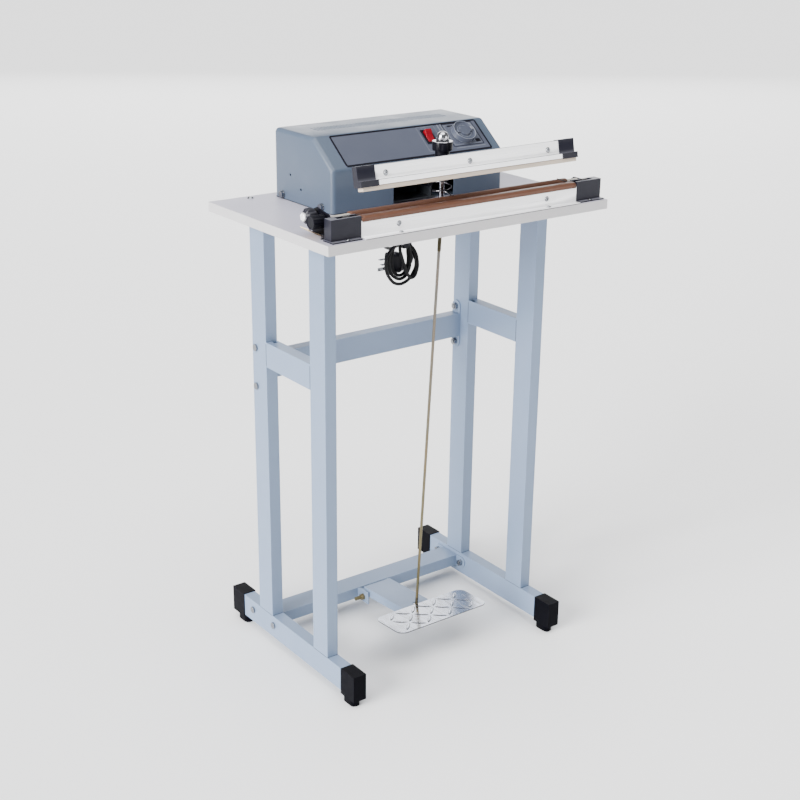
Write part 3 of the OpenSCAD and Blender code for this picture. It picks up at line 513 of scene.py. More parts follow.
def tread_look():
    """Polished tread plate with scuffs and dull patches where shoes land."""
    k = Look("tread_steel", 0.16, metal=1.0)
    bright = k.mix(k.noise(14, 5), (0.40, 0.42, 0.48), (0.54, 0.56, 0.62))
    # Faces that look up take the bright metal; every other face, the lentils' flanks and the plate's edges,
    # is coloured dark (0.045).
    k.colour(k.toned_by_facing((0.045, 0.047, 0.055), bright))
    scuffs = k.noise(1.0, 5, (260, 30, 30))
    k.roughness(k.math("ADD", k.spread(scuffs, 0.0, 0.12, 0.45, 0.7), k.spread(k.noise(12, 5), 0.10, 0.26)))
    k.bump(k.noise(45, 3), 0.0004, 0.5)
    return k.mat


def silicone_look():
    k = Look("silicone", 0.55, specular=0.35)
    base = (0.52, 0.44, 0.36)
    k.colour(k.mix(k.noise(1.0, 3, (6, 300, 300)), tint(base, 0.93), tint(base, 1.06)))
    k.shader.inputs["Subsurface Weight"].default_value = 0.08
    k.shader.inputs["Subsurface Radius"].default_value = (0.002, 0.0015, 0.001)
    k.roughness(k.spread(k.noise(90, 3), 0.48, 0.66))
    k.bump(k.noise(500, 3), 0.00008, 0.5)
    return k.mat


def rubber_cord_look():
    k = Look("cord_rubber", 0.34, specular=0.14)
    base = (0.0022, 0.0022, 0.003)
    k.colour(k.mix(k.noise(120, 4), tint(base, 0.7), tint(base, 1.6)))
    k.roughness(k.spread(k.noise(160, 4), 0.34, 0.55))
    k.bump(k.noise(900, 2), 0.00005, 0.5)
    return k.mat


def laminations_look():
    k = Look("laminations", 0.5, metal=0.4)
    sheets = k.wave(330, "Y")
    k.colour(k.mix(sheets, (0.07, 0.06, 0.055), (0.24, 0.21, 0.19)))
    k.roughness(k.spread(k.noise(60, 4), 0.4, 0.6))
    k.bump(sheets, 0.0003, 0.6)
    return k.mat


def board_look():
    k = Look("circuit_board", 0.38, coat=0.2)
    tracks = k.spread(k.wave(60, "X", 2.5), 0, 1, 0.55, 0.62)
    k.colour(k.mix(tracks, (0.03, 0.16, 0.07), (0.07, 0.28, 0.12)))
    k.roughness(k.spread(k.noise(50, 3), 0.3, 0.5))
    k.bump(tracks, 0.00006, 0.5)
    return k.mat


FRAME_BLUE = (0.186, 0.250, 0.362)
HOUSE_BLUE = (0.064, 0.087, 0.127)
LOOKS = {
    "frame_paint": painted("frame_paint", FRAME_BLUE),
    "housing_paint": painted("housing_paint", HOUSE_BLUE, 0.40, 0.00012),
    "arm_paint": painted("arm_paint", (0.030, 0.034, 0.042), 0.5),
    "dark_paint": painted("dark_paint", (0.035, 0.030, 0.030), 0.4),
    "laminate": laminate_look(),
    "edging": edging_look(),
    # The lift values paint the edges lighter: a painted edge highlight, partly wear.
    "black_plastic": moulded("black_plastic", (0.004, 0.004, 0.007), 0.34, lift=4, specular=0.12),
    # box_plastic: its tops take the lighter tone (0.11, 0.11, 0.13).
    "box_plastic": moulded("box_plastic", (0.011, 0.011, 0.018), 0.36, 0.00006, 0.0, 5, 0.2,
                            (0.11, 0.11, 0.13)),
    "foot_rubber": moulded("foot_rubber", (0.0015, 0.0015, 0.003), 0.38, 0.00010, lift=6, specular=0.03),
    "jaw_aluminium": jaw_look("jaw_aluminium"),
    "bright_steel": metal("bright_steel", (0.24, 0.25, 0.27), 0.24),
    "chrome": metal("chrome", (0.48, 0.48, 0.51), 0.06, (90, 90, 4)),
    "spring_steel": metal("spring_steel", (0.22, 0.21, 0.22), 0.22, (200, 200, 200)),
    "nichrome": metal("nichrome", (0.45, 0.42, 0.38), 0.35, (8, 900, 900)),
    "bush_brass": metal("bush_brass", (0.62, 0.45, 0.18), 0.25, (30, 30, 900)),
    "yellow_zinc": zinc_look(),
    "thread": thread_look(),
    "tread_steel": tread_look(),
    "cloth_brown": cloth_look(),
    "phenolic": moulded("phenolic", (0.30, 0.15, 0.09), 0.45),
    "silicone": silicone_look(),
    "panel": painted("panel", (0.062, 0.070, 0.100), 0.36, 0.00003),
    "panel_line": moulded("panel_line", (0.004, 0.004, 0.008), 0.5, 0.00001, specular=0.1),
    "print_light": painted("print_light", (0.15, 0.165, 0.20), 0.45, 0.00001),
    "rocker_red": moulded("rocker_red", (0.20, 0.003, 0.010), 0.22, 0.00002, 0.0, 1.25, 0.25),
    "dial_grey": moulded("dial_grey", (0.060, 0.068, 0.095), 0.16, 0.00002, 0.3, 2.2),
    "board_green": board_look(),
    "core_steel": laminations_look(),
    "terminal_white": moulded("terminal_white", (0.72, 0.71, 0.67), 0.4, 0.00003, 0.1, 1.1),
    "cord_black": rubber_cord_look(),
    "cream_leaf": moulded("cream_leaf", (0.72, 0.58, 0.38), 0.4, 0.00003, 0.1, 1.2),
    "roll_core": moulded("roll_core", (0.40, 0.38, 0.34), 0.45, 0.00003, 0.0, 1.2),
    "knob_grey": moulded("knob_grey", (0.016, 0.016, 0.022), 0.38, 0.00006, 0.0, 3, 0.25),
    "dark_steel": metal("dark_steel", (0.05, 0.05, 0.06), 0.35),
    "lever_steel": metal("lever_steel", (0.13, 0.125, 0.12), 0.35),
    "shadow_line": painted("shadow_line", (0.012, 0.012, 0.015), 0.7, 0.00001),
    "strip_joint": painted("strip_joint", (0.10, 0.065, 0.045), 0.6, 0.00001),
    "fine_line": painted("fine_line", (0.16, 0.16, 0.18), 0.6, 0.00001),
    "screw_steel": metal("screw_steel", (0.26, 0.27, 0.29), 0.20),
    "hex_white": metal("hex_white", (0.90, 0.91, 0.92), 0.30, None, 0.35),
}


# -------------------------------------------------------------- power cord
CORD_D = 6.0 * MM
LEAD = [
    (-70, -20, 886), (-70, -20, 877), (-70, -25, 866), (-71, -35, 857),
    (-73, -49, 852), (-76, -65, 852), (-79, -81, 856), (-82, -97, 863),
    (-84, -113, 871), (-86, -129, 878), (-88, -143, 881), (-90, -154, 878),
    (-91, -162, 870),
]
TAIL = [
    (-91, -160, 868), (-88, -156, 861), (-85, -151, 853),
    (-84, -146, 844), (-88, -143, 838), (-96, -142, 836),
]
# Loose turns that hang from the strap: down the right side, round and up the left
COIL = [
    (-88, -168, 848), (-96, -170, 832), (-110, -171, 820), (-131, -171, 817),
    (-149, -171, 831), (-157.5, -171, 856), (-153, -171, 874), (-138, -171.5, 887),
    (-122, -171.5, 891), (-110, -170, 887), (-102, -168, 873), (-99.5, -166, 853),
    (-103, -165, 836), (-116, -165, 824), (-134, -165, 829), (-146, -165, 847),
    (-146, -165, 867), (-136, -165.5, 884), (-120, -165.5, 891), (-106, -163, 885),
    (-101, -160, 869), (-99, -158.5, 851), (-103, -158, 837), (-114, -158, 828),
    (-127, -158, 833), (-135, -158, 850), (-134, -158, 870), (-127, -158.5, 885),
    (-117, -158.5, 890), (-105, -162, 886), (-93, -168, 874), (-89, -173, 856),
    (-92, -176, 838), (-102, -177, 826), (-112, -177, 832), (-119, -177, 847),
    (-125, -176, 865), (-128, -173, 882), (-123, -169, 895), (-112, -165, 898),
    (-102, -163, 890), (-95, -161, 880),
]


def make_cord():
    route = LEAD + COIL + TAIL
    data = bpy.data.curves.new("mains_lead", "CURVE")
    data.dimensions = "3D"
    data.bevel_depth = CORD_D / 2
    data.bevel_resolution = 4
    data.resolution_u = 6
    data.use_fill_caps = True
    spline = data.splines.new("BEZIER")
    spline.bezier_points.add(len(route) - 1)
    for point, at in zip(spline.bezier_points, route):
        point.co = [c * MM for c in at]
        point.handle_left_type = point.handle_right_type = "AUTO"
    data.materials.append(LOOKS["cord_black"])
    cord = bpy.data.objects.new("mains_lead", data)
    scene.collection.objects.link(cord)
    return place(cord, "stand", "cord_black", "power_cord", "cord_coil")


def make_plug():
    """Three-pin plug: rounded body with finger grooves, flat pins, ribbed cord entry."""
    low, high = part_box("power_plug")
    body_l, body_r = -131 * MM, -106 * MM
    y, z = (low.y + high.y) / 2, (low.z + high.z) / 2
    bm = bmesh.new()
    half_y, half_z = 12 * MM, 20 * MM
    rows = []
    for i in range(13):
        u = i / 12
        grip = 1 - 0.10 * math.sin(math.pi * u) ** 2
        nose = 1 - 0.16 * max(0.0, (u - 0.7) / 0.3) ** 2
        ring = []
        for k in range(32):
            t = 2 * math.pi * k / 32
            c, s = math.cos(t), math.sin(t)
            yy = math.copysign(abs(c) ** 0.45, c) * half_y * grip * nose
            zz = math.copysign(abs(s) ** 0.45, s) * half_z * grip * nose
            ring.append(bm.verts.new((body_l + (body_r - body_l) * u, y + yy, z + zz)))
        rows.append(ring)
    for a, b in zip(rows, rows[1:]):
        for k in range(32):
            m = (k + 1) % 32
            bm.faces.new((a[k], a[m], b[m], b[k]))
    bm.faces.new(rows[0][::-1])
    bm.faces.new(rows[-1])
    entry = [(7.5, -1), (7.5, 0), (7, 2), (5.4, 2.6), (6.6, 3.4), (6.4, 5), (4.9, 5.6),
             (6, 6.4), (5.6, 8), (4.4, 8.6), (5, 9.6), (4.4, 11), (3.2, 11.4)]
    lathe(bm, [(r * MM, h * MM) for r, h in entry], (body_r - 1 * MM, y, z - 12 * MM), (1, 0, 0), 24)
    plug = bevel(finish_mesh("plug_body", bm, LOOKS["black_plastic"]), 0.0012, 2)
    place(plug, "stand", "black_plastic", "power_plug")
    bm = bmesh.new()
    blades = ((-3.2, 3.2, 9, 10.6, -33), (-3.2, 3.2, -0.8, 0.8, -29), (-0.8, 0.8, -11, -4.7, -36))
    for y0, y1, z0, z1, tip in blades:
        box(bm, ((-118 + tip) * MM, y + y0 * MM, z + z0 * MM), (body_l + 0.001, y + y1 * MM, z + z1 * MM))
    pins = bevel(finish_mesh("plug_pins", bm, LOOKS["bright_steel"]), 0.0004, 2)
    place(pins, "stand", "bright_steel")
    return plug, pins


cord = make_cord()
plug, pins = make_plug()


# ------------------------------------------------------------------- stand
for node in ("left_foot_rail", "right_foot_rail", "left_front_leg", "left_rear_leg", "right_front_leg",
             "right_rear_leg", "left_side_rail", "right_side_rail"):
    soften(node, LOOKS["frame_paint"], 0.0022, 3, 60)
for node in ("mid_beam", "lower_beam"):
    soften(node, LOOKS["frame_paint"], 0.0014, 2, 60)
soften("pedal_lugs", LOOKS["frame_paint"], 0.0006, 2)


def make_shade_lines():
    """Painted shade lines: legs on the foot rails, side rails on the legs, jaw foot and housing on the board,
    and a dark sheet under the roof vents.
    """
    for side, name in ((-1, "left"), (1, "right")):
        x0, x1 = sorted((side * 236.5, side * 261.5))
        # Dark rings where each leg meets its foot rail: painted shade in the crease.
        bm = bmesh.new()
        for y in (-130, 74):
            ring_line(bm, x0 - 0.3, x1 + 0.3, y - 0.3, y + 50.3, 0.8, 69.8, 0.7, 2.5)
        part(name + "_leg_shade_lines", bm, "shadow_line", name + "_foot_rail")
        # Dark strips where the side rail meets the legs: painted shade in the crease.
        bm = bmesh.new()
        for y in (-80, 74):
            for low, high in (((x0 - 0.25, y - 0.5, 616), (x0 + 0.6, y + 0.5, 661)),
                              ((x1 - 0.6, y - 0.5, 616), (x1 + 0.25, y + 0.5, 661))):
                mm_box(bm, low, high)
        part(name + "_rail_shade_lines", bm, "shadow_line", name + "_side_rail")
    # Dark band round the housing's foot: painted shadow of the gap under the housing.
    bm = bmesh.new()
    ring_line(bm, -190.5, 210.5, -50.5, 146.5, 3, 926, 1.4, 9)
    part("housing_shadow_line", bm, "shadow_line", "housing_base")
    # Dark sheet just under the roof vents: painted shade seen through the slots.
    bm = bmesh.new()
    mm_box(bm, (-152, 58, 1052.6), (174, 112, 1054.2))
    part("vent_shade_sheet", bm, "shadow_line", "housing")
    # Dark strip along the jaw foot's front edge: painted shadow of the gap under the flange.
    bm = bmesh.new()
    mm_box(bm, (-242, -231.5, 926), (250, -230.4, 926.9))
    part("jaw_foot_shadow_line", bm, "shadow_line", "lower_jaw_bar")


make_shade_lines()
soften("foot_caps", LOOKS["foot_rubber"], 0.0016, 3)
soften("fasteners", LOOKS["bright_steel"], 0.0005, 2)
soften("hinge_bolt", LOOKS["yellow_zinc"], 0.0006, 2)
soften("worktop", LOOKS["laminate"], 0.0)
soften("worktop_edging", LOOKS["edging"], 0.0007, 2)

# ----------------------------------------------------------------- housing
soften("housing", LOOKS["housing_paint"], 0.0003, 1, 50)
soften("housing_base", LOOKS["housing_paint"], 0.0)
soften("control_panel", LOOKS["panel"], 0.0003, 1)
soften("switch_body", LOOKS["black_plastic"], 0.0006, 2)
soften("timer_board", LOOKS["board_green"], 0.0003, 1)
soften("transformer", LOOKS["core_steel"], 0.0006, 1)
soften("terminal_block", LOOKS["terminal_white"], 0.0004, 1)
soften("microswitch", LOOKS["black_plastic"], 0.0004, 1)
soften("microswitch_lever", LOOKS["bright_steel"], 0.0)
soften("arm_bracket", LOOKS["arm_paint"], 0.0006, 2)
soften("pivot_shaft", LOOKS["bright_steel"], 0.0005, 2)


def make_rocker():
    """Rocker pressed at its lower half: bright raised half, shaded sunk half, dark well."""
    bm = bmesh.new()

    def rocker(m):
        profile = [(-12.6, -3), (-12.6, 2.2), (-9, 2.7), (-4, 3.4), (0, 4.4), (4, 6.2), (8, 8.6), (11, 9.8),
                   (12.4, 9.6), (12.9, 8.4), (12.9, -3)]
        rows = [[m.verts.new(((57 + x) * MM, (50 + y) * MM, z * MM)) for y, z in profile]
                for x in (-6.6, 8.2)]
        n = len(profile)
        for k in range(n):
            m.faces.new((rows[0][k], rows[0][(k + 1) % n], rows[1][(k + 1) % n], rows[1][k]))
        m.faces.new(rows[0][::-1])
        m.faces.new(rows[1])
    moved(bm, SLOPE, rocker)
    bevel(part("rocker_key", bm, "rocker_red", "power_rocker", True, 50), 0.0006, 2, 60)


make_rocker()


def panel_prints():
    """Outlines printed on the panel; its lettering is left out."""
    bm = bmesh.new()
    moved(bm, SLOPE, lambda m: (
        ring_line(m, -156, 186, 4, 80, 3.8, 1.0, 0.14, 5),
        ring_line(m, 100, 174, 18, 76, 1.5, 1.0, 0.10, 1.5),
        mm_box(m, (150, 64, 1.0), (166, 67, 1.1)),
        mm_box(m, (112, 68, 1.0), (126, 72, 1.1)),
        mm_box(m, (158, 24, 1.0), (169, 32, 1.1))))
    part("panel_outlines", bm, "panel_line", "control_panel")
    bm = bmesh.new()

    def light(m):
        ring_line(m, 104.5, 169.5, 22, 72, 0.9, 1.0, 0.10, 1.5)
        ring_line(m, 39.5, 82, 14, 75.5, 0.6, 1.0, 0.10, 2)
        for x in (90, 97.5):
            mm_box(m, (x, 52, 1.0), (x + 2.2, 77, 1.12))
        ring_line(m, 51, 62, 69.5, 74, 0.5, 1.0, 0.10, 2)
        mm_box(m, (104, 14, 1.0), (174, 15.2, 1.1))
        for k in range(31):
            a = math.radians(225 - 9 * k)
            r0, r1 = 27.0, 29.6 if k % 3 == 0 else 28.4
            turn = spin_about(137, 47, a)
            mm_box(m, (r0, -0.22, 1.0), (r1, 0.22, 1.1), turn)
    moved(bm, SLOPE, light)
    part("panel_print_light", bm, "print_light", "control_panel")


def spin_about(x, y, angle):
    """A turn about an upright axis through a point of the panel."""
    return Matrix.Translation((x * MM, y * MM, 0)) @ Matrix.Rotation(angle, 4, "Z")


def make_dial():
    """Timer dial: stepped skirt, sunk face, hub and grip bar, with light rings on its edges as painted
    highlights.
    """
    def fluted(t, i):
        return 1 - (0.012 * (0.5 + 0.5 * math.cos(36 * t)) if 1 <= i <= 4 else 0)
    at = (137, 47, 1.3)
    bm = bmesh.new()

    def body(m):
        mm_lathe(m, [(3, -16), (3, 0), (25, 0), (25, 1.6), (24.6, 2.4), (23.9, 8.6), (23.2, 10.6),
                     (22.4, 11), (21.4, 10.6), (20.8, 8.6), (20.4, 8.1), (12.5, 7.8), (12, 8.2), (11.6, 10.4),
                     (10.6, 11.3), (0, 11.5)], at, (0, 0, 1), 144, fluted)
    moved(bm, SLOPE, body)
    bevel(part("dial_body", bm, "dial_grey", "timer_dial", True, 30), 0.0003, 1, 50)
    bm = bmesh.new()
    moved(bm, SLOPE, lambda m: mm_box(m, (119, 43.2, 8.4), (155, 50.8, 12.9)))
    bevel(part("dial_grip", bm, "dial_grey", "timer_dial"), 0.0016, 3)
    bm = bmesh.new()

    # Thin light rings on the skirt's rim, the step and the foot: painted highlights. The small box is a light
    # mark on the grip's end.
    def rim_highlights(m):
        for r, z, w in ((23.0, 12.15, 0.45), (14.6, 9.25, 0.35), (25.1, 2.9, 0.3)):
            mm_lathe(m, [(r - w, z), (r - w * 0.5, z + w * 0.6), (r + w * 0.5, z + w * 0.6), (r + w, z)],
                     (137, 47, 0), (0, 0, 1), 96)
        mm_box(m, (152.5, 46.6, 12.8), (154.6, 47.4, 13.05))
    moved(bm, SLOPE, rim_highlights)
    part("dial_highlight_rings", bm, "print_light", "timer_dial")


panel_prints()
make_dial()

# -------------------------------------------------------------- lower jaw
soften("lower_jaw_bar", LOOKS["jaw_aluminium"], 0.0005, 2)
soften("insulation_strip", LOOKS["phenolic"], 0.0)
soften("heating_wire", LOOKS["nichrome"], 0.0)
soften("left_end_box", LOOKS["box_plastic"], 0.0010, 3)
soften("right_end_box", LOOKS["box_plastic"], 0.0010, 3)
soften("roller_brackets", LOOKS["black_plastic"], 0.0006, 2)


def make_roller():
    """Roll of spare cloth on its core, and the fluted hand knob at the left end."""
    y, z = -177, 955
    bm = bmesh.new()
    along = (1, 0, 0)

    def wraps(t, i):
        return 1 + 0.022 * ((t / (2 * math.pi)) % 1)
    rows = [(6.6, -240.2), (7.2, -239.7), (8.2, -240.3), (9.2, -239.9), (9.5, -239.4)]
    rows += [(9.5 - 0.12 * math.sin(k * 1.9), -236 + k * 12.3) for k in range(40)]
    rows += [(9.5, 258.0), (9.2, 258.5), (6.6, 258.5)]
    mm_lathe(bm, rows, (0, y, z), along, 64, wraps)
    part("cloth_roll", bm, "cloth_brown", "cloth_roller", True)
    bm = bmesh.new()
    core = [(0, -296), (4, -296), (4, -287.6), (6.5, -287.6), (6.5, 287.6), (4, 287.6), (4, 294), (0, 294)]
    mm_lathe(bm, core, (0, y, z), along, 48)
    part("roll_core", bm, "roll_core", "cloth_roller")
    bm = bmesh.new()

    def flutes(t, i):
        return 1 - (0.045 * (0.5 + 0.5 * math.cos(12 * t)) ** 4 if 3 <= i <= 6 else 0)
    mm_lathe(bm, [(0, -319), (9.6, -319), (10.2, -319.9), (11.4, -320), (12.2, -318.9), (12.2, -293.4),
                  (11.8, -292.2), (9.0, -291), (0, -291)], (0, y, z), along, 112, flutes)
    part("roller_knob", bm, "black_plastic", "cloth_roller")


def make_lock_knob():
    """Locking knob with eight flats and a bright hexagonal cap."""
    y, z = -150.5, 959.5
    along = (1, 0, 0)
    bm = bmesh.new()

    def lobes(t, i):
        return 1 - (0.15 * (0.5 + 0.5 * math.cos(8 * t)) ** 2 if 3 <= i <= 6 else 0)
    body = [(0, -314.6), (7.6, -314.6), (8.4, -314), (12.4, -311.6), (14.1, -309.8), (14.4, -308.6),
            (14.4, -299), (13.6, -297.6), (9, -297.2), (8, -296.6), (8, -291), (4, -291),
            (4, -278), (0, -278)]
    mm_lathe(bm, body, (0, y, z), along, 96, lobes)
    part("lock_knob_body", bm, "knob_grey", "roller_lock_knob", True)
    bm = bmesh.new()

    def hexagon(t, i):
        return math.cos(math.pi / 6) / math.cos((t + math.pi / 6) % (math.pi / 3) - math.pi / 6)
    cap = [(0, -318.6), (6.4, -318.6), (7.7, -317.8), (7.7, -314.4), (0, -314.4)]
    mm_lathe(bm, cap, (0, y, z), along, 96, hexagon)
    part("lock_knob_cap", bm, "hex_white", "roller_lock_knob")


def make_left_fittings():
    """Bent spring leaf under the roller's knob, and the eye screw beside the end box."""
    bm = bmesh.new()
    rows = []
    for i in range(17):
        u = i / 16
        x = -320 + 31 * u
        z = 927.2 + 15.3 * (1 - u) ** 1.5
        rows.append([bm.verts.new((x * MM, y * MM, (z + dz) * MM))
                     for y, dz in ((-173 - 10 * u, 0), (-146, 0), (-146, 0.9), (-173 - 10 * u, 0.9))])
    for a, b in zip(rows, rows[1:]):
        for k in range(4):
            m = (k + 1) % 4
            bm.faces.new((a[k], a[m], b[m], b[k]))
    bm.faces.new(rows[0][::-1])
    bm.faces.new(rows[-1])
    part("roller_leaf", bm, "cream_leaf", "roller_brackets")
    bm = bmesh.new()
    edge = [((-320 + 31 * k / 16) * MM, (-173 - 10 * k / 16) * MM, (927.4 + 15.3 * (1 - k / 16) ** 1.5) * MM)
            for k in range(17)]
    tube(bm, edge, 0.8 * MM, 8)
    part("leaf_edge", bm, "strip_joint", "roller_brackets")
    bm = bmesh.new()
    ring = [(-301 * MM, (-186 + 3.4 * math.cos(a)) * MM, (931.4 + 3.4 * math.sin(a)) * MM)
            for a in (2 * math.pi * k / 24 for k in range(25))]
    tube(bm, ring, 1.0 * MM, 10)
    mm_lathe(bm, [(3.2, 0), (3.2, 1.4), (1.6, 1.8), (1.6, 3)], (-301, -186, 926), (0, 0, 1), 24)
    part("eye_screw", bm, "dark_steel", "roller_brackets")


make_roller()
make_lock_knob()
make_left_fittings()
soften("left_tension_lever", LOOKS["lever_steel"], 0.0005, 2)
soften("right_tension_lever", LOOKS["lever_steel"], 0.0005, 2)
soften("tension_springs", LOOKS["spring_steel"], 0.0)
soften("wire_clamps", LOOKS["dark_paint"], 0.0005, 2)


def make_lower_screws():
    heads, rings = bmesh.new(), bmesh.new()
    for side in (-1, 1):
        x = 6.5 + side * 170
        places = (((x, -218, 942), (0, -1, 0), 4.3, 2.3),
                  ((x, -225, 928.2), (0, 0, 1), 3.6, 2.0),
                  ((4 + side * 278, -223, 928.4), (0, 0, 1), 3.4, 1.6),
                  ((side * 281, -174, 928.5), (0, 0, 1), 3.6, 2.0))
        for at, axis, r, h in places:
            screw(heads, at, axis, r, h)
            # A dark ring round each head: painted shadow.
            screw_shadow_ring(rings, at, axis, r)
    part("lower_screw_heads", heads, "screw_steel", "lower_jaw_screws", True)
    part("lower_screw_shadows", rings, "shadow_line", "lower_jaw_screws")


def make_cloth():
    """Coated cloth stretched over the strip and the wire, then back down to the roll."""
    half, x_mid = 245.0, 4.0
    line = [(-218.55, 954.2), (-218.55, 956.5), (-218.5, 958.4), (-218.1, 960.2), (-217.2, 961.8),
            (-215.8, 963.0), (-213.6, 963.75), (-211.0, 964.05), (-208.2, 964.1), (-205.2, 964.0),
            (-202.8, 963.6), (-201.0, 962.8), (-199.9, 961.5), (-199.3, 959.8), (-197.8, 958.0),
            (-195.6, 956.6), (-192.4, 954.6), (-188.6, 951.8), (-185.3, 948.9), (-183.4, 947.2)]
    steps = 70
    bm = bmesh.new()
    rows = []
    for i in range(steps + 1):
        u = i / steps
        x = x_mid - half + 2 * half * u
        row = []
        for k, (y, z) in enumerate(line):
            v = k / (len(line) - 1)
            pull = 0.22 * math.sin(9 * u + 2.4 * v) + 0.16 * math.sin(31 * u - 5 * v)
            lift = pull * math.sin(math.pi * min(1, max(0, (v - 0.55) / 0.45))) if v > 0.55 else 0
            row.append(bm.verts.new((x * MM, y * MM, (z + lift - 0.22) * MM)))
        rows.append(row)
    for a, b in zip(rows, rows[1:]):
        for k in range(len(line) - 1):
            bm.faces.new((a[k], b[k], b[k + 1], a[k + 1]))
    cloth = part("cover_cloth", bm, "cloth_brown", "ptfe_cloth", True, 80)
    mod = cloth.modifiers.new("thickness", "SOLIDIFY")
    mod.thickness = 0.25 * MM
    mod.offset = 0
    return cloth


make_lower_screws()
make_cloth()

# --------------------------------------------------------------- upper jaw
soften("jaw_arm", LOOKS["arm_paint"], 0.0008, 2)
soften("upper_jaw_bar", LOOKS["jaw_aluminium"], 0.0005, 2)
soften("upper_jaw_caps", LOOKS["box_plastic"], 0.0)


def make_upper_screws():
    places = [((-2.3 + k * 184, -192, 6), (0, -1, 0), 4.6) for k in (-1, 0, 1)]
    places += [((x, -178.5, 0), (0, 1, 0), 4.5) for x in (-25, 25)]
    bm = bmesh.new()
    moved(bm, JAW, lambda m: [screw(m, at, axis, r) for at, axis, r in places])
    part("upper_screw_heads", bm, "screw_steel", "upper_jaw_screws", True)
    # Dark rings round the heads: painted shadow.
    bm = bmesh.new()
    moved(bm, JAW, lambda m: [screw_shadow_ring(m, at, axis, r) for at, axis, r in places])
    part("upper_screw_shadows", bm, "shadow_line", "upper_jaw_screws")


def jaw_lines():
    """Fine dark lines along the upper jaw: painted shadow in the corner over the lip, a joint under the lip,
    and a line along the top edge.
    """
    bm = bmesh.new()
    # The first box is painted shadow in the inner corner over the lip; the second is a dark line along the
    # top edge.
    moved(bm, JAW, lambda m: (mm_box(m, (-208, -192.35, -4.4), (208, -191.9, -3.5)),
                              mm_box(m, (-208, -192.2, 20.2), (208, -191.6, 20.9))))
    part("jaw_fine_lines", bm, "fine_line", "upper_jaw_bar")
    bm = bmesh.new()
    moved(bm, JAW, lambda m: mm_box(m, (-241.3, -199.25, -13.4), (244, -183.4, -12.45)))
    part("strip_joint", bm, "strip_joint", "silicone_strip")


make_upper_screws()
jaw_lines()
soften("silicone_strip", LOOKS["silicone"], 0.0016, 3)

# ----------------------------------------------------------------- linkage
soften("spindle_bush", LOOKS["bush_brass"], 0.0005, 2)
soften("spindle", LOOKS["chrome"], 0.0005, 2)


def make_knob():
    """Black hand knob with shallow flutes, chromed washer and domed nut."""
    at = (0, -126, 0)

    def flutes(t, i):
        return 1 - (0.055 * (0.5 + 0.5 * math.cos(8 * t)) ** 3 if 6 <= i <= 10 else 0)
    bm = bmesh.new()
    mm_lathe(bm, [(5.2, 1019.3), (7.6, 1019.3), (12, 1024.3), (13.3, 1024.9), (13.5, 1026), (13.5, 1035.6),
                  (14.5, 1036.3), (17.6, 1036.6), (18.6, 1037.6), (18.8, 1039), (18.8, 1049.4), (18.3, 1051),
                  (17.2, 1051.5), (5.2, 1051.5)], at, (0, 0, 1), 128, flutes)
    part("hand_knob", bm, "black_plastic", "pressure_knob", True)
    bm = bmesh.new()

    def hexagon(t, i):
        if i > 2:
            return 1
        return math.cos(math.pi / 6) / math.cos((t + math.pi / 6) % (math.pi / 3) - math.pi / 6)
    mm_lathe(bm, [(5, 1051.8), (18.2, 1051.8), (18.6, 1052.2), (18.6, 1052.9), (18.2, 1053.3), (5, 1053.3)],
             at, (0, 0, 1), 96)
    dome = [(11.9, 1053.3), (12.1, 1053.8), (12.1, 1057.6), (10.9, 1058.6), (10.8, 1060.5),
            (10.3, 1063.2), (9.1, 1066), (7.3, 1068.2), (5, 1069.7), (2.5, 1070.35), (0, 1070.5)]
    mm_lathe(bm, dome, at, (0, 0, 1), 96, hexagon)
    part("domed_nut", bm, "chrome", "knob_nut", True, 30)


def make_rod():
    """Pull rod with ball end, threaded sleeve at the top, thread and nut at the pedal."""
    top, end = Vector((0, -125, 888)), Vector((2.5, -68, 62))
    axis = (end - top).normalized()
    length = (end - top).length
    bm = bmesh.new()
    mm_lathe(bm, [(0, -4.8), (2.6, -4.1), (4.2, -2.3), (4.8, 0), (4.2, 2.3), (3.0, 3.8), (3.0, 38),
                  (2.9, 40), (2.9, length - 30), (2.9, length - 0.6), (2.3, length), (0, length)],
             top, axis, 32)
    part("rod_bar", bm, "yellow_zinc", "pull_rod", True)
    bm = bmesh.new()
    pitch = 1.25
    rows = [(2.9, 0)]
    for k in range(int(39 / pitch)):
        rows += [(3.3, 1 + k * pitch), (3.75, 1 + (k + 0.5) * pitch)]
    rows += [(3.3, 40), (2.9, 40)]
    mm_lathe(bm, rows, top, axis, 28)
    rows = [(2.85, length - 34)]
    for k in range(int(33 / pitch)):
        rows += [(2.95, length - 34 + k * pitch), (3.2, length - 34 + (k + 0.5) * pitch)]
    rows += [(2.85, length - 0.4)]
    mm_lathe(bm, rows, top, axis, 24)
    part("rod_threads", bm, "thread", "pull_rod", False, 20)
    bm = bmesh.new()

    def hexagon(t, i):
        return math.cos(math.pi / 6) / math.cos((t + math.pi / 6) % (math.pi / 3) - math.pi / 6)
    mm_lathe(bm, [(3.1, 69.5), (6.3, 69.5), (6.9, 70.1), (6.9, 75), (6.3, 75.5), (3.1, 75.5)],
             (2.5, -68.6, 0), (0, 0, 1), 48, hexagon)
    part("rod_nut", bm, "yellow_zinc", "pull_rod")


def make_spring():
    """Compression spring: an even helix of 4.5 turns."""
    z0, z1, turns = 928.5 + 1.15, 1007.5 - 1.15, 4.5
    points = []
    count = 260
    for i in range(count + 1):
        u = i / count
        a = math.pi + 2 * math.pi * turns * u
        z = (z0 + (z1 - z0) * u) * MM
        points.append((17.5 * MM * math.cos(a), -126 * MM + 17.5 * MM * math.sin(a), z))
    bm = bmesh.new()
    tube(bm, points, 1.15 * MM, 12)
    spring = part("spring_coil", bm, "spring_steel", "return_spring", True, 60)
    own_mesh(spring)


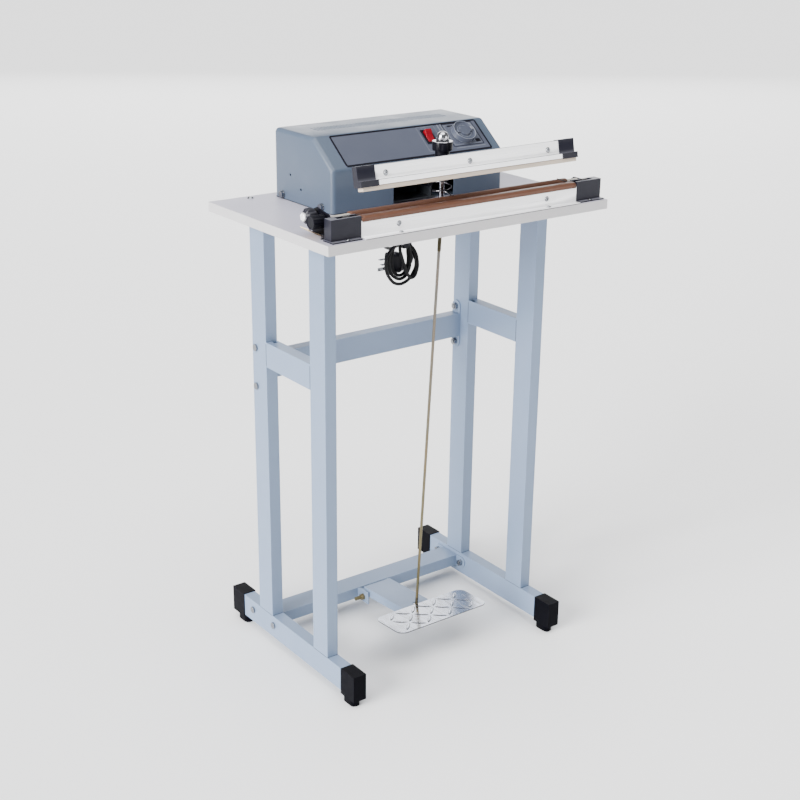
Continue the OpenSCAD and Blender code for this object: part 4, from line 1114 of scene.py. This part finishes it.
def tread_lentils(bm):
    """Raised lentils of the tread plate, in alternate directions."""
    def lentil(x, y, angle):
        def ring(scale, h):
            out = []
            for k in range(20):
                t = 2 * math.pi * k / 20
                px = 16 * scale * math.cos(t)
                py = 3.4 * (0.25 + 0.75 * scale) * math.sin(t) * abs(math.sin(t)) ** 0.35
                out.append((x + px * math.cos(angle) - py * math.sin(angle),
                            y + px * math.sin(angle) + py * math.cos(angle), 22.15 + h))
            return out
        rows = [[bm.verts.new([c * MM for c in p]) for p in ring(sc, h)]
                for sc, h in ((1, 0), (0.93, 0.45), (0.78, 0.8), (0.5, 1.0))]
        for a, b in zip(rows, rows[1:]):
            for k in range(20):
                m = (k + 1) % 20
                bm.faces.new((a[k], a[m], b[m], b[k]))
        bm.faces.new(rows[-1])

    def build(_):
        for i in range(-4, 5):
            for j in range(3):
                x, y = 4 + 27 * i, -159 - 27.5 * j
                if abs(x - 4) < 100:
                    lentil(x, y, math.radians(45 if (i + j) % 2 else -45))
    moved(bm, PEDAL, build)


make_knob()
make_rod()
make_spring()
soften("pedal_arm", LOOKS["frame_paint"], 0.0010, 2)
soften("tread_plate", LOOKS["tread_steel"], 0.0004, 2, 60, tread_lentils)
soften("cord_fixings", LOOKS["black_plastic"], 0.0006, 2)


# ------------------------------------------------------- floor and lights
def make_stage():
    k = Look("floor", 0.6, specular=0.2)
    k.colour(k.mix(k.noise(0.6, 2), (0.92, 0.92, 0.925), (0.94, 0.94, 0.94)))
    bm = bmesh.new()
    bmesh.ops.create_grid(bm, x_segments=1, y_segments=1, size=60)
    floor = finish_mesh("floor", bm, k.mat)


def area_light(name, place_at, target, size, power):
    data = bpy.data.lights.new(name, "AREA")
    data.shape = "RECTANGLE"
    data.size, data.size_y = size
    data.energy = power
    light = bpy.data.objects.new(name, data)
    light.location = place_at
    light.rotation_mode = "QUATERNION"
    light.rotation_quaternion = (Vector(target) - Vector(place_at)).to_track_quat("-Z", "Y")
    scene.collection.objects.link(light)


def sun(name, toward, strength, angle):
    """Broad even light that travels along the given direction."""
    data = bpy.data.lights.new(name, "SUN")
    data.energy = strength
    data.angle = math.radians(angle)
    light = bpy.data.objects.new(name, data)
    light.rotation_mode = "QUATERNION"
    light.rotation_quaternion = Vector(toward).to_track_quat("-Z", "Y")
    scene.collection.objects.link(light)


make_stage()
world = bpy.data.worlds.new("studio")
world.use_nodes = True
world.node_tree.nodes["Background"].inputs["Color"].default_value = (1, 1, 1, 1)
world.node_tree.nodes["Background"].inputs["Strength"].default_value = 0.28
scene.world = world
sun("sky_soft", (0.1, 0.12, -1), 4.0, 64)
sun("key_left", (0.93, 0.10, -0.34), 8.6, 38)
area_light("front_sheen", (2.2, -3.4, 1.45), (0, -0.1, 0.95), (2.0, 1.1), 30)
area_light("back_glow", (4.6, 6.6, 2.6), (0, 0, 0.8), (7, 3.4), 240)
